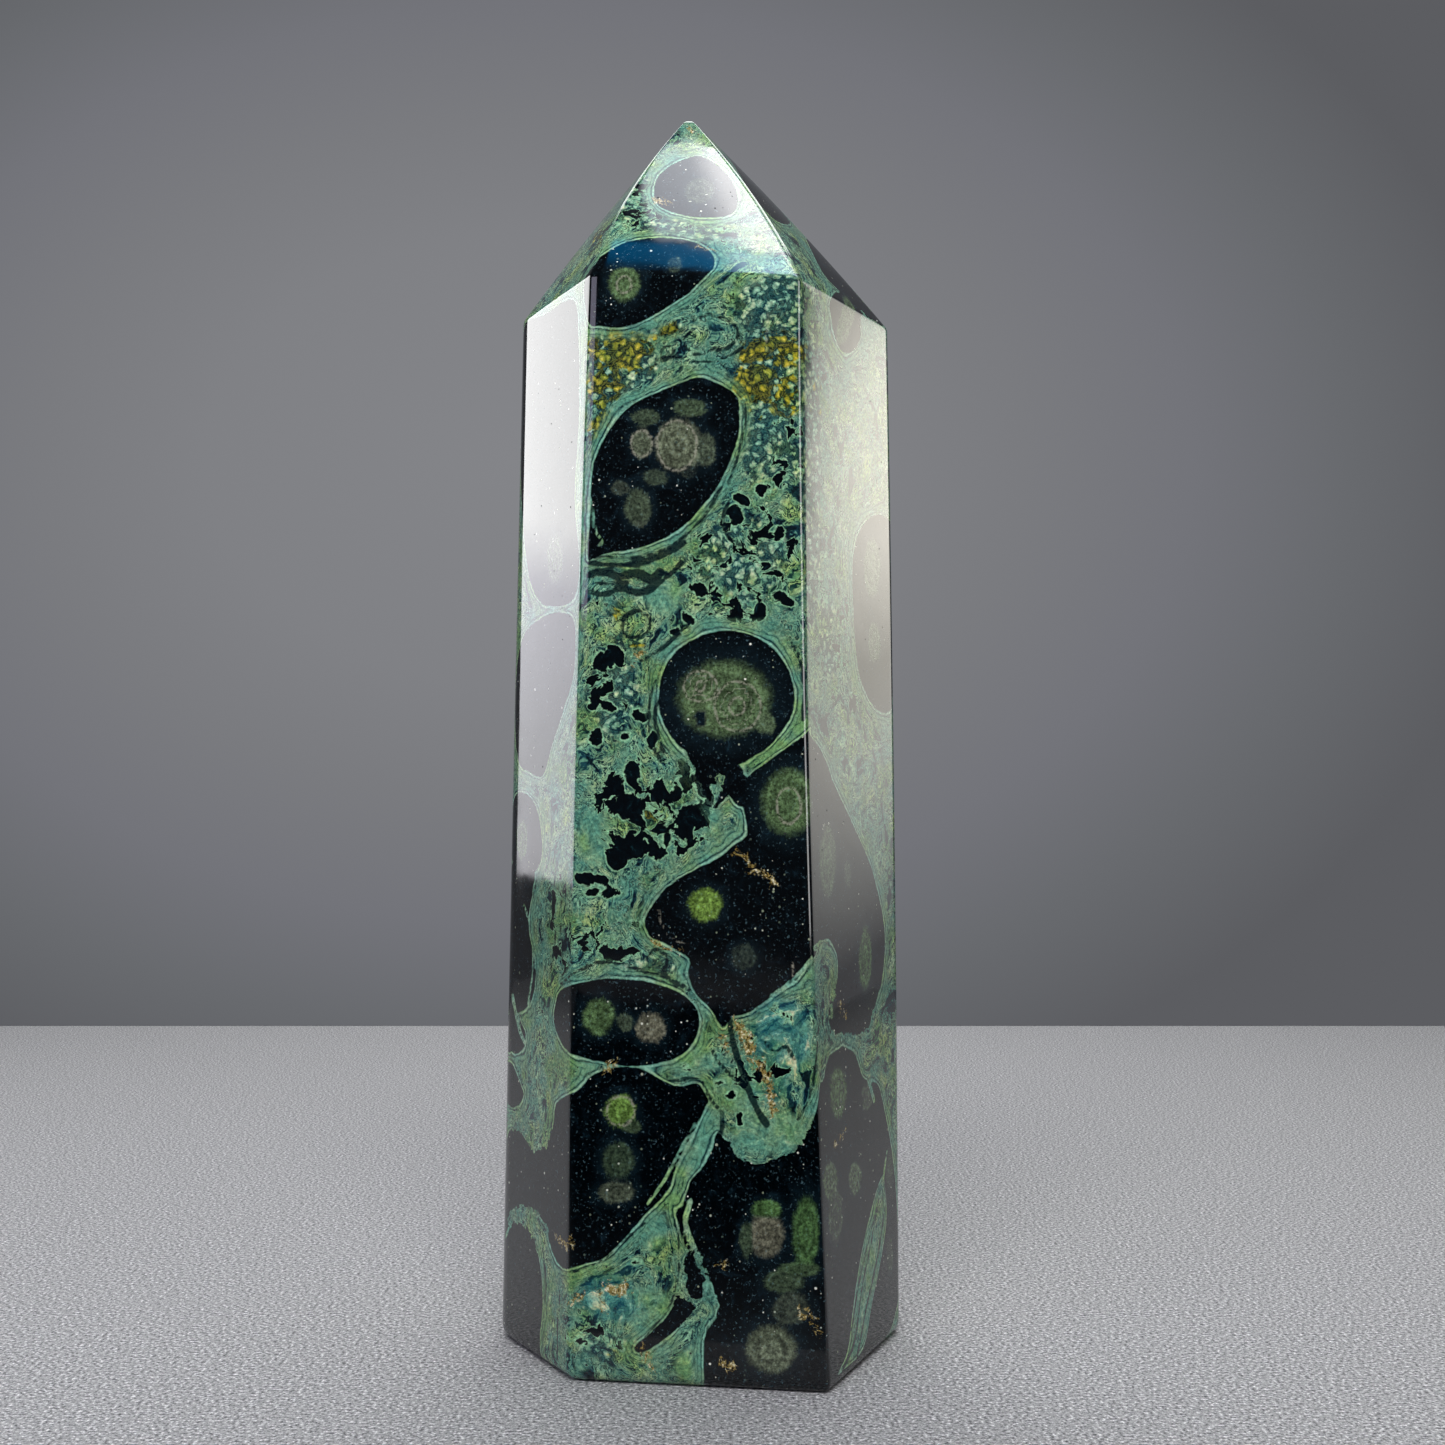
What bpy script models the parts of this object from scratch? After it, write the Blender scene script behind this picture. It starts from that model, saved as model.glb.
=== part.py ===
"""Kambaba jasper obelisk: a six-sided tower of polished stone, ground by hand to a point.

The tower is one solid stone. It starts as a hexagonal prism in rings. The lower rings are moved
to the uneven, slightly tapered section of the real one, and the upper rings to the swelling
facets of its point. Its edges are softened by the polishing, each by its own amount.

Metres, +Z up. The origin is the middle of the foot, on the surface that it stands on, and the
broad front face looks along -Y.
"""

from math import atan2

import bmesh
import bpy
from mathutils import Vector

MM = 0.001

# Driving heights, in millimetres
TOTAL_HEIGHT = 200.0
WAIST_HEIGHT = 80.0
SHOULDER_HEIGHT = 165.6

# Each upright edge, as its place (x, y) at the foot, at the waist and at the shoulder, and how
# far its own shoulder lies above the mean one. Millimetres, seen from above, anticlockwise.
UPRIGHT_EDGES = {
    "outer_left": ((-32.7, -2.4), (-31.7, -2.2), (-30.4, -2.0), -1.0),
    "front_left": ((-19.3, -25.4), (-18.8, -23.8), (-16.8, -22.6), 0.8),
    "front_right": ((18.8, -30.4), (16.1, -28.1), (15.1, -25.8), -0.9),
    "outer_right": ((32.2, -0.6), (32.0, -0.5), (31.2, -0.4), -1.6),
    "back_right": ((18.4, 27.8), (17.4, 26.7), (16.4, 25.5), -0.6),
    "back_left": ((-19.7, 30.3), (-18.0, 29.0), (-16.6, 27.2), 0.9),
}
NAMES = list(UPRIGHT_EDGES)

# The tip, off the axis, and how much higher the facets would meet if the tip weren't rounded
POINT_OFFSET = (-2.3, 1.2)
TIP_ROUNDING = 0.79

# How far the ridge above each upright edge swells out of the straight line, halfway up
RIDGE_SWELL = {
    "outer_left": (-0.4, 0.0),
    "front_left": (-1.7, -0.8),
    "front_right": (1.4, -0.6),
    "outer_right": (0.7, -0.1),
    "back_right": (0.6, 0.6),
    "back_left": (-0.5, 0.6),
}

# How far the polishing has taken each edge back from its sharp corner, in millimetres
UPRIGHT_SOFTENING = {
    "outer_left": 3.4,
    "front_left": 0.55,
    "front_right": 0.9,
    "outer_right": 1.8,
    "back_right": 1.6,
    "back_left": 1.6,
}
SHOULDER_SOFTENING = 0.5
RIDGE_SOFTENING = 0.6
FOOT_SOFTENING = 1.5
WIDEST_SOFTENING = max(UPRIGHT_SOFTENING.values())

SIDE_RINGS = 8
POINT_RINGS = 3
ALL_RINGS = SIDE_RINGS + POINT_RINGS
SOFT_EDGE_STEPS = 4
SMOOTH_BELOW_ANGLE = 0.35
ANGLE_DIGITS = 3


def side_place(name, share):
    """The point of an upright edge at a share of its height.

    It is the parabola through the edge's foot, waist and shoulder.
    """
    foot, waist, shoulder, rise = UPRIGHT_EDGES[name]
    middle = WAIST_HEIGHT / SHOULDER_HEIGHT
    at_foot = (share - middle) * (share - 1) / middle
    at_waist = share * (share - 1) / (middle * (middle - 1))
    at_shoulder = share * (share - middle) / (1 - middle)
    x, y = (at_foot * a + at_waist * b + at_shoulder * c for a, b, c in zip(foot, waist, shoulder))
    return Vector((x, y, share * (SHOULDER_HEIGHT + rise)))


def sharp_tip():
    """Where the facets of the point would meet."""
    return Vector((*POINT_OFFSET, TOTAL_HEIGHT + TIP_ROUNDING))


def ridge_place(name, share):
    """The point of a ridge at a share of its way from the shoulder to the tip, with its swelling."""
    straight = side_place(name, 1).lerp(sharp_tip(), share)
    return straight + Vector((*RIDGE_SWELL[name], 0)) * 4 * share * (1 - share)


def prism():
    """A hexagonal prism of unit height in equal rings, one corner for each upright edge."""
    bm = bmesh.new()
    bmesh.ops.create_cone(bm, cap_ends=True, segments=len(NAMES), radius1=1, radius2=1, depth=1)
    bmesh.ops.translate(bm, verts=bm.verts, vec=(0, 0, 1 / 2))
    uprights = [e for e in bm.edges if e.verts[0].co.xy == e.verts[1].co.xy]
    bmesh.ops.subdivide_edges(bm, edges=uprights, cuts=ALL_RINGS - 1)
    return bm


def ring_and_name(bm):
    """Each vertex's ring, counted from the foot, and the name of the upright edge that it is on."""
    angle = {v: round(atan2(v.co.y, v.co.x), ANGLE_DIGITS) for v in bm.verts}
    turn = sorted(set(angle.values()))
    leftmost = max(turn, key=abs)
    first = turn.index(leftmost)
    order = turn[first:] + turn[:first]
    return {v: (round(v.co.z * ALL_RINGS), NAMES[order.index(angle[v])]) for v in bm.verts}


def shape_rings(bm, places):
    """Moves the rings to the real section and raises the top face to the tip, which it returns."""
    top = max(bm.faces, key=lambda face: face.calc_center_median().z)
    tip = bmesh.ops.poke(bm, faces=[top])["verts"][0]
    tip.co = sharp_tip()
    for vert, (ring, name) in places.items():
        if ring <= SIDE_RINGS:
            vert.co = side_place(name, ring / SIDE_RINGS)
        else:
            vert.co = ridge_place(name, (ring - SIDE_RINGS) / (POINT_RINGS + 1))
    return tip


def softening(edge, places, tip):
    """How far one edge is taken back: an upright, a ridge, or part of the foot or the shoulder."""
    if tip in edge.verts:
        return RIDGE_SOFTENING
    (ring, name), (other_ring, other_name) = (places[vert] for vert in edge.verts)
    if name == other_name:
        return UPRIGHT_SOFTENING[name] if min(ring, other_ring) < SIDE_RINGS else RIDGE_SOFTENING
    return {0: FOOT_SOFTENING, SIDE_RINGS: SHOULDER_SOFTENING}.get(ring, 0)


def centre_over_foot(obj):
    """Moves the mesh so that the middle of its outline, seen from above, is the origin."""
    shown = obj.evaluated_get(bpy.context.evaluated_depsgraph_get())
    corners = [Vector(corner) for corner in shown.bound_box]
    low = Vector(min(c[i] for c in corners) for i in range(3))
    high = Vector(max(c[i] for c in corners) for i in range(3))
    middle = (low + high) / 2
    shift = Vector((-middle.x, -middle.y, -low.z))
    for vert in obj.data.vertices:
        vert.co += shift


def jasper():
    """Polished kambaba jasper: a dark green stone under a glassy polish."""
    material = bpy.data.materials.new("kambaba_jasper")
    material.use_nodes = True
    shader = material.node_tree.nodes["Principled BSDF"]
    shader.inputs["Base Color"].default_value = (0.045, 0.110, 0.070, 1)
    shader.inputs["Metallic"].default_value = 0
    shader.inputs["Roughness"].default_value = 0.08
    return material


def obelisk(parts):
    """The whole tower, as one solid stone."""
    bm = prism()
    places = ring_and_name(bm)
    tip = shape_rings(bm, places)
    weight = bm.edges.layers.float.new("bevel_weight_edge")
    for edge in bm.edges:
        edge[weight] = softening(edge, places, tip) / WIDEST_SOFTENING
    bmesh.ops.scale(bm, verts=bm.verts, vec=(MM, MM, MM))
    bmesh.ops.recalc_face_normals(bm, faces=bm.faces)
    mesh = bpy.data.meshes.new("obelisk")
    bm.to_mesh(mesh)
    bm.free()
    mesh.materials.append(jasper())
    stone = bpy.data.objects.new("obelisk", mesh)
    parts.objects.link(stone)
    polished = stone.modifiers.new("polished_edges", "BEVEL")
    polished.limit_method = "WEIGHT"
    polished.width = WIDEST_SOFTENING * MM
    polished.segments = SOFT_EDGE_STEPS
    mesh.shade_smooth()
    mesh.set_sharp_from_angle(angle=SMOOTH_BELOW_ANGLE)
    bpy.context.view_layer.update()
    centre_over_foot(stone)
    return stone


def main():
    for old in list(bpy.data.objects):
        bpy.data.objects.remove(old)
    parts = bpy.data.collections.new("kambaba_jasper_obelisk")
    bpy.context.scene.collection.children.link(parts)
    obelisk(parts)


main()
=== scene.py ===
"""Kambaba jasper obelisk: the looks of the polished stone, the studio round it, and the camera.

The stone is one closed skin. Its shape is the same table of edges as the solid's, and on it lies a
map of the markings in millimetres, as if the skin were unrolled: s runs round the stone from the
middle of the front face, and h runs up it, over the shoulder and along the slope of the point. The
orbs, their eyes, the green strands and the gold veins are drawn on that map as distances, which the
material turns into colour. Lengths are millimetres until the mesh is made.
"""

from functools import partial

import bpy
import numpy as np
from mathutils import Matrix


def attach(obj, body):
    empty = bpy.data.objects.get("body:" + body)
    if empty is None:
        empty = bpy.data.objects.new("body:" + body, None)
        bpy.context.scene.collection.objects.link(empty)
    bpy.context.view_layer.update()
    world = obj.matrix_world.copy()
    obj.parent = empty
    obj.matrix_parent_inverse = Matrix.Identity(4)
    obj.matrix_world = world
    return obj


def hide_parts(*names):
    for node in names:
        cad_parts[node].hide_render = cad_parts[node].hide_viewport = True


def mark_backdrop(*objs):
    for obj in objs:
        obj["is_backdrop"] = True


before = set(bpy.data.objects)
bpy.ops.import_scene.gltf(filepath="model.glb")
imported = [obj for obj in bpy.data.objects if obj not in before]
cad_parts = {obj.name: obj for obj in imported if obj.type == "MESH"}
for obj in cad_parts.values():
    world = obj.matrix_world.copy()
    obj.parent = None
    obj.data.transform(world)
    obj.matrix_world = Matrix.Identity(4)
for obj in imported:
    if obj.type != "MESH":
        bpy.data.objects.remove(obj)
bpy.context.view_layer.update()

MM = 0.001

# Camera of the photograph: its place, the height that it looks at, and its focal length in pixels
PHOTO_SIZE = 1445
CAMERA_PLACE = np.array((3.40, -279.87, 84.5))
CAMERA_PITCH = np.arctan2(85.5, 1700)
FOCAL_PIXELS = 1700
SENSOR_WIDTH = 36

TOTAL_HEIGHT = 200.0
WAIST_HEIGHT = 80.0
SHOULDER_HEIGHT = 165.6

# Each upright edge: its place at the foot, the waist and the shoulder, how far its own shoulder
# lies above the mean one, how far the ridge above it swells out, and how far the polish has taken
# the edge back on the face before it and on the face after it. Anticlockwise, seen from above.
UPRIGHT_EDGES = {
    "back_left": ((-19.7, 30.3), (-18.0, 29.0), (-16.6, 27.2), 0.9, (-0.5, 0.6), (1.6, 1.6)),
    "outer_left": ((-32.7, -2.4), (-31.7, -2.2), (-30.4, -2.0), -1.0, (-0.4, 0.0), (3.0, 3.4)),
    "front_left": ((-19.3, -25.4), (-18.8, -23.8), (-16.8, -22.6), 0.8, (-1.7, -0.8), (0.5, 1.7)),
    "front_right": ((18.8, -30.4), (16.1, -28.1), (15.1, -25.8), -0.9, (1.4, -0.6), (0.5, 0.7)),
    "outer_right": ((32.2, -0.6), (32.0, -0.5), (31.2, -0.4), -1.6, (0.7, -0.1), (1.8, 1.6)),
    "back_right": ((18.4, 27.8), (17.4, 26.7), (16.4, 25.5), -0.6, (0.6, 0.6), (1.6, 1.6)),
}
CENTRE_SHIFT = (0.05, 0.03, 0.0)
TIP = (-2.3, 1.2, 200.79)
RIDGE_SOFTENING = 0.6
SHOULDER_SOFTENING = 0.5
TIP_CAP = 0.957

# How high the rounding of the foot reaches, under the middle of each edge's arc
FOOT_SOFTENING = (1.6, 2.2, 2.8, 1.8, 2.2, 1.6)

# How far the arc at the foot turns in under the stone, as a share of its softening
FOOT_TURN = 1.1

# How far the middle of a face stands proud of a flat one, if the face is wider than this
FACE_BULGE = 0.10
BULGING_WIDTH = 20

# Columns of the skin on each rounded edge, and on the face after each edge
EDGE_COLUMNS = 6
FACE_COLUMNS = (28, 34, 70, 44, 28, 28)
BACK_LEFT, LEFT, FRONT, RIGHT, BACK_RIGHT, BACK = range(6)
UNDERSIDE_ROWS, FOOT_ROWS, SIDE_ROWS, SHOULDER_ROWS, POINT_ROWS, TIP_ROWS = 3, 6, 280, 6, 54, 6


def parabola(low, middle, high, at_middle, t):
    """The curve through three values at 0, at_middle and 1, read at t (Lagrange's formula)."""
    a = (t - at_middle) * (t - 1) / at_middle
    b = t * (t - 1) / (at_middle * (at_middle - 1))
    c = t * (t - at_middle) / (1 - at_middle)
    return a * low + b * middle + c * high


def bezier(start, control, end, t):
    """The quadratic Bezier curve: (1-t)^2 start + 2t(1-t) control + t^2 end."""
    return (1 - t) ** 2 * start + 2 * t * (1 - t) * control + t**2 * end


def outline(corners, taken):
    """A closed section: a Bezier arc round each corner, then the slightly bulging face after it.

    corners is (6, 3), and taken (6, 2) is how far each arc reaches along its two faces.
    """
    to_next = np.roll(corners, -1, 0) - corners
    length = np.linalg.norm(to_next, axis=1, keepdims=True)
    to_next = to_next / np.maximum(length, 1e-9)
    starts = corners - np.roll(to_next, 1, 0) * taken[:, :1]
    ends = corners + to_next * taken[:, 1:]
    outward = np.stack([to_next[:, 1], -to_next[:, 0], 0 * to_next[:, 0]], 1)
    parts = []
    for i, columns in enumerate(FACE_COLUMNS):
        t = np.arange(EDGE_COLUMNS)[:, None] / EDGE_COLUMNS
        parts.append(bezier(starts[i], corners[i], ends[i], t))
        t = np.arange(columns)[:, None] / columns
        height = FACE_BULGE * min(1, length[i, 0] / BULGING_WIDTH)
        bulge = height * 4 * t * (1 - t) * outward[i]
        parts.append(ends[i] + (starts[(i + 1) % 6] - ends[i]) * t + bulge)
    return np.concatenate(parts)


def stone_skin():
    """The grid of the stone's surface from the middle of its foot to the tip, (rows, columns, 3).

    The side is the parabola through three outlines, at the foot, the waist and the shoulder, and
    the point is the parabola through the shoulder, the outline halfway up the ridges, and the tip.
    The foot, the shoulder and the tip are rounded by Bezier curves between those surfaces.
    """
    foot, waist, shoulder = (np.array([e[i] for e in UPRIGHT_EDGES.values()]) for i in range(3))
    rise = np.array([e[3] for e in UPRIGHT_EDGES.values()])
    swell = np.array([(*e[4], 0) for e in UPRIGHT_EDGES.values()])
    taken = np.array([e[5] for e in UPRIGHT_EDGES.values()])
    top = SHOULDER_HEIGHT + rise
    middle = WAIST_HEIGHT / SHOULDER_HEIGHT
    at_foot = outline(np.column_stack([foot, 0 * top]), taken)
    at_waist = outline(np.column_stack([waist, middle * top]), taken)
    at_shoulder_corners = np.column_stack([shoulder, top])
    at_shoulder = outline(at_shoulder_corners, taken)
    halfway_corners = (at_shoulder_corners + TIP) / 2 + swell
    halfway = outline(halfway_corners, np.full((6, 2), RIDGE_SOFTENING))
    tip = np.broadcast_to(TIP, at_foot.shape)

    def side(share):
        return parabola(at_foot, at_waist, at_shoulder, middle, share)

    def point(share):
        return parabola(at_shoulder, halfway, tip, 0.5, share)

    def steps(count):
        return np.arange(count)[:, None, None] / count

    softening = np.interp(
        np.arange(len(at_foot)),
        np.append(FACE_STARTS - EDGE_COLUMNS / 2, len(at_foot) - EDGE_COLUMNS / 2),
        FOOT_SOFTENING + FOOT_SOFTENING[:1],
    )[:, None]
    low = softening / at_shoulder[:, 2:]
    slope = np.linalg.norm(halfway - at_shoulder, axis=1, keepdims=True) * 2
    high, over = 1 - SHOULDER_SOFTENING / SHOULDER_HEIGHT, SHOULDER_SOFTENING / slope
    inward = 1 - FOOT_TURN * softening / np.linalg.norm(at_foot[:, :2], axis=1, keepdims=True)
    under = at_foot * np.concatenate([inward, inward, 0 * inward], 1)
    cap = point(TIP_CAP)
    t = (TOTAL_HEIGHT - cap[:, 2:]) / (TIP[2] - cap[:, 2:])
    cap_control = cap + (tip - cap) * t
    apex = np.array((TIP[0], TIP[1], TOTAL_HEIGHT))
    rows = [
        under * steps(UNDERSIDE_ROWS)[1:],
        bezier(under, at_foot, side(low), steps(FOOT_ROWS)),
        side(low + (high - low) * steps(SIDE_ROWS)),
        bezier(side(high), at_shoulder, point(over), steps(SHOULDER_ROWS)),
        point(over + (TIP_CAP - over) * steps(POINT_ROWS)),
        bezier(cap, cap_control, apex, steps(TIP_ROWS)),
    ]
    return np.concatenate(rows) + CENTRE_SHIFT, apex + CENTRE_SHIFT


def column_faces():
    """For each column, which face it belongs to: an edge's arc is shared by the two beside it."""
    face = np.concatenate(
        [np.r_[np.full(EDGE_COLUMNS, i), np.full(n, i)] for i, n in enumerate(FACE_COLUMNS)]
    )
    for start in FACE_STARTS[1:]:
        face[start - EDGE_COLUMNS : start - EDGE_COLUMNS // 2] -= 1
    return face


FACE_STARTS = np.cumsum([0, *FACE_COLUMNS[:-1]]) + EDGE_COLUMNS * np.arange(1, 7)
FACE_MIDDLES = FACE_STARTS + np.array(FACE_COLUMNS) // 2
FIRST_SIDE_ROW = UNDERSIDE_ROWS - 1 + FOOT_ROWS
FIRST_POINT_ROW = FIRST_SIDE_ROW + SIDE_ROWS + SHOULDER_ROWS // 2


def unrolled(skin):
    """The map of the skin: s is the length round each row from the front face's middle column,
    and h is the height, then the way up the slope of the point at the middle of each face.
    """
    step = np.linalg.norm(np.diff(skin, axis=1), axis=2)
    along = np.pad(np.cumsum(step, 1), ((0, 0), (1, 0)))
    along = along - along[:, FACE_MIDDLES[FRONT], None]
    middles = FACE_MIDDLES[column_faces()]
    s = along.copy()
    shoulder_s = along[FIRST_POINT_ROW]
    s[FIRST_POINT_ROW:] = shoulder_s[middles] + (along - along[:, middles])[FIRST_POINT_ROW:]
    s[:FIRST_SIDE_ROW] = s[FIRST_SIDE_ROW]
    climb = np.linalg.norm(np.diff(skin[FIRST_POINT_ROW:, FACE_MIDDLES], axis=0), axis=2)
    climb = np.pad(np.cumsum(climb, 0), ((1, 0), (0, 0)))
    h = skin[..., 2].copy()
    share = climb / climb[-1]
    lean = (skin[FIRST_POINT_ROW, :, 2] - skin[FIRST_POINT_ROW, middles, 2])[None]
    h[FIRST_POINT_ROW:] = (
        skin[FIRST_POINT_ROW, middles, 2]
        + climb[:, column_faces()]
        + lean * (1 - share[:, column_faces()])
    )
    return np.stack([s, h], -1)


def in_photo(places):
    """Where the camera sees places in space: (u, v) in pixels of the photograph."""
    forward = np.array((0, np.cos(CAMERA_PITCH), np.sin(CAMERA_PITCH)))
    up = np.array((0, -np.sin(CAMERA_PITCH), np.cos(CAMERA_PITCH)))
    rel = places - CAMERA_PLACE
    depth = rel @ forward
    u = PHOTO_SIZE / 2 + FOCAL_PIXELS * rel[..., 0] / depth
    v = PHOTO_SIZE / 2 - FOCAL_PIXELS * (rel @ up) / depth
    return np.stack([u, v], -1)


# Markings, placed by pixels (u, v) of the photograph. First the outlines of the dark orbs and of
# the dark ground between them.
DARK_OUTLINES = {
    "shoulder_orb": [
        (588, 322), (600, 326.5), (612, 328), (627, 326), (648, 318), (669, 306), (688, 294),
        (702, 281), (713, 269), (714, 257), (704, 247), (688, 241), (664, 238), (640, 239),
        (620, 244), (604, 254), (592, 268), (584, 290),
    ],
    "point_orb": [
        (654, 192), (657, 180), (666, 168), (680, 160), (700, 157), (720, 166), (732, 182),
        (738, 200), (733, 213), (716, 218), (690, 217), (668, 211), (657, 204),
    ],
    "great_orb": [
        (588, 558), (590, 520), (591, 480), (597, 455), (612, 426), (631, 405), (655, 393),
        (676, 385), (697, 378), (710, 380), (727, 388), (737, 396), (739.5, 410), (738.5, 432),
        (733, 452), (722, 478), (712, 494), (700, 509), (690, 521), (668, 537), (647, 546),
        (630, 550), (612, 552), (600, 555),
    ],
    "flower_orb": [
        (659, 700), (663, 672), (676, 652), (695, 638), (716, 631), (737, 631), (757, 638),
        (775, 650), (788, 668), (794, 690), (793, 710), (785, 728), (770, 745), (752, 758),
        (735, 766), (716, 765), (695, 758), (676, 742), (663, 722),
    ],
    "under_flower_orb": [
        (690, 752), (720, 765), (742, 768), (748, 790), (742, 806), (728, 800), (716, 808),
        (704, 792), (696, 775),
    ],
    "edge_orb": [
        (806, 730), (790, 744), (772, 759), (748, 776), (741, 790), (744, 812), (747, 832),
        (741, 848), (770, 862), (806, 866), (822, 866), (822, 800), (818, 750),
    ],
    "middle_orb": [
        (738, 842), (725, 852), (712, 862), (697, 868), (680, 878), (664, 891), (652, 906),
        (645, 922), (650, 936), (662, 943), (676, 950), (689, 960), (688, 976), (697, 995),
        (712, 1010), (723, 1028), (733, 1017), (748, 1013), (764, 1003), (780, 992), (797, 978),
        (808, 962), (818, 948), (822, 900), (820, 860), (800, 845), (770, 838),
    ],
    "right_veiled_zone": [
        (803, 731), (816, 742), (826, 760), (834, 785), (848, 815), (860, 840), (872, 870),
        (882, 912), (885, 945), (881, 985), (873, 1010), (868, 1030), (850, 1034), (832, 1030),
        (829, 1005), (836, 985), (838, 962), (833, 946), (820, 940), (808, 938), (806, 860),
    ],
    "double_eyed_orb": [
        (554, 1020), (555.5, 1003), (560, 990), (572, 983), (589, 981), (606, 979), (625, 979.5),
        (642, 981), (656, 984), (670, 988), (681, 993), (692, 1003), (698, 1014), (698.5, 1027),
        (692, 1044), (679, 1056), (656, 1064), (628, 1066), (600, 1062), (578, 1056), (562, 1044),
    ],
    "lower_left_zone": [
        (556, 1104), (575, 1092), (592, 1075), (611, 1068), (630, 1067), (647, 1071), (664, 1082),
        (681, 1087), (698, 1084), (706, 1096), (712, 1110), (704, 1128), (690, 1150), (677, 1175),
        (664, 1195), (645, 1215), (625, 1238), (605, 1258), (585, 1264), (562, 1268), (552, 1250),
        (545, 1225), (530, 1207), (512, 1210), (500, 1230), (495, 1150), (515, 1128), (538, 1152),
        (552, 1130),
    ],
    "foot_orb": [
        (495, 1250), (505, 1228), (514, 1222), (524, 1225), (535, 1245), (541, 1275), (542, 1310),
        (540, 1335), (533, 1356), (515, 1350), (495, 1330),
    ],
    "lower_right_zone": [
        (688, 1184), (703, 1166), (712, 1150), (717, 1133), (728, 1143), (737, 1155), (756, 1163),
        (776, 1160), (793, 1151), (806, 1138), (816, 1114), (820, 1085), (826, 1062), (836, 1050),
        (847, 1047), (856, 1056), (862, 1075), (869, 1080), (878, 1085), (885, 1110), (892, 1150),
        (896, 1200), (898, 1300), (896, 1384), (860, 1396), (822, 1400), (760, 1404), (712, 1400),
        (706, 1378), (704, 1340), (716, 1316), (712, 1300), (703, 1280), (689, 1250), (680, 1232),
        (676, 1205),
    ],
    "diagonal_lens": [
        (678, 1296), (668, 1315), (650, 1333), (634, 1347), (642, 1352), (660, 1343), (678, 1328),
        (692, 1312), (698, 1305), (688, 1304),
    ],
    "slot": [
        (689, 1253), (696, 1262), (700, 1280), (701, 1296), (693, 1300), (686, 1285), (685, 1262),
    ],
    "left_upper_zone": [
        (522, 335), (545, 314), (573, 300), (579, 340), (579, 420), (575, 500), (579, 560),
        (574, 598), (556, 606), (538, 600), (526, 560), (521, 450),
    ],
    "left_veiled_zone": [
        (522, 640), (540, 618), (560, 612), (574, 622), (574, 670), (566, 705), (553, 745),
        (543, 776), (530, 772), (518, 760), (516, 700),
    ],
    "left_low_orb": [
        (514, 800), (524, 792), (536, 806), (541, 830), (542, 858), (534, 874), (520, 872), (
            510,
            850,
        ),
    ],
    "left_dark_ground": [
        (510, 870), (526, 866), (536, 880), (530, 905), (529, 930), (533, 950), (536, 972),
        (532, 1000), (520, 1012), (505, 1005),
    ],
    "left_small_ground": [
        (505, 1020), (514, 1010), (522, 1022), (526, 1040), (520, 1052), (506, 1050),
    ],
    "left_face_hollow": [(507, 1062), (518, 1070), (524, 1095), (514, 1108), (500, 1098)],
    "right_top_ring": [
        (832, 296), (846, 290), (858, 296), (862, 315), (861, 336), (854, 350), (844, 352),
        (836, 340), (831, 318),
    ],
    "right_great_orb": [
        (853, 600), (853, 560), (860, 530), (874, 516), (890, 520), (898, 545), (898, 690),
        (888, 712), (874, 708), (860, 680), (855, 640),
    ],
    "right_slope_orb": [
        (722, 142), (745, 165), (770, 195), (790, 222), (778, 222), (760, 205), (744, 182), (
            730,
            160,
        ),
    ],
    "right_slope_ground": [
        (806, 238), (830, 262), (862, 296), (884, 326), (870, 317), (848, 299), (822, 272),
    ],
}

# Small dark fragments of the broken ground, as (u, v, half width, half height, tilt in degrees)
DARK_FRAGMENTS = [
    (632, 772, 7, 11, 20), (630, 806, 15, 13, -25), (686, 822, 6, 17, 10), (667, 841, 4, 8, 0),
    (703, 788, 8, 11, 15), (618, 857, 12, 13, 0), (592, 878, 17, 6, -5), (650, 848, 9, 5, 20),
    (611, 893, 10, 5, 15), (592, 893, 8, 4, 0), (760, 612, 7, 9, 0), (784, 599, 11, 5, -30),
    (779, 534, 5, 8, -20), (736, 516, 7, 10, 30), (742, 500, 9, 6, -30), (700, 590, 9, 5, -40),
    (688, 618, 7, 5, -40), (676, 632, 6, 4, -30), (762, 490, 8, 5, 20), (636, 1262, 4, 2, 0),
    (687, 1068, 4, 2, -20), (719, 1082, 4, 3, 30), (732, 1095, 5, 3, 35), (740, 1119, 2.5, 5, 0),
    (580, 1340, 4, 4, 0), (588, 1345, 3, 4, 0), (596, 738, 6, 9, 0), (608, 706, 8, 5, -20),
    (640, 716, 9, 5, -30), (652, 740, 5, 8, 0), (626, 736, 6, 4, 0), (600, 660, 6, 7, 0),
]

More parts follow.
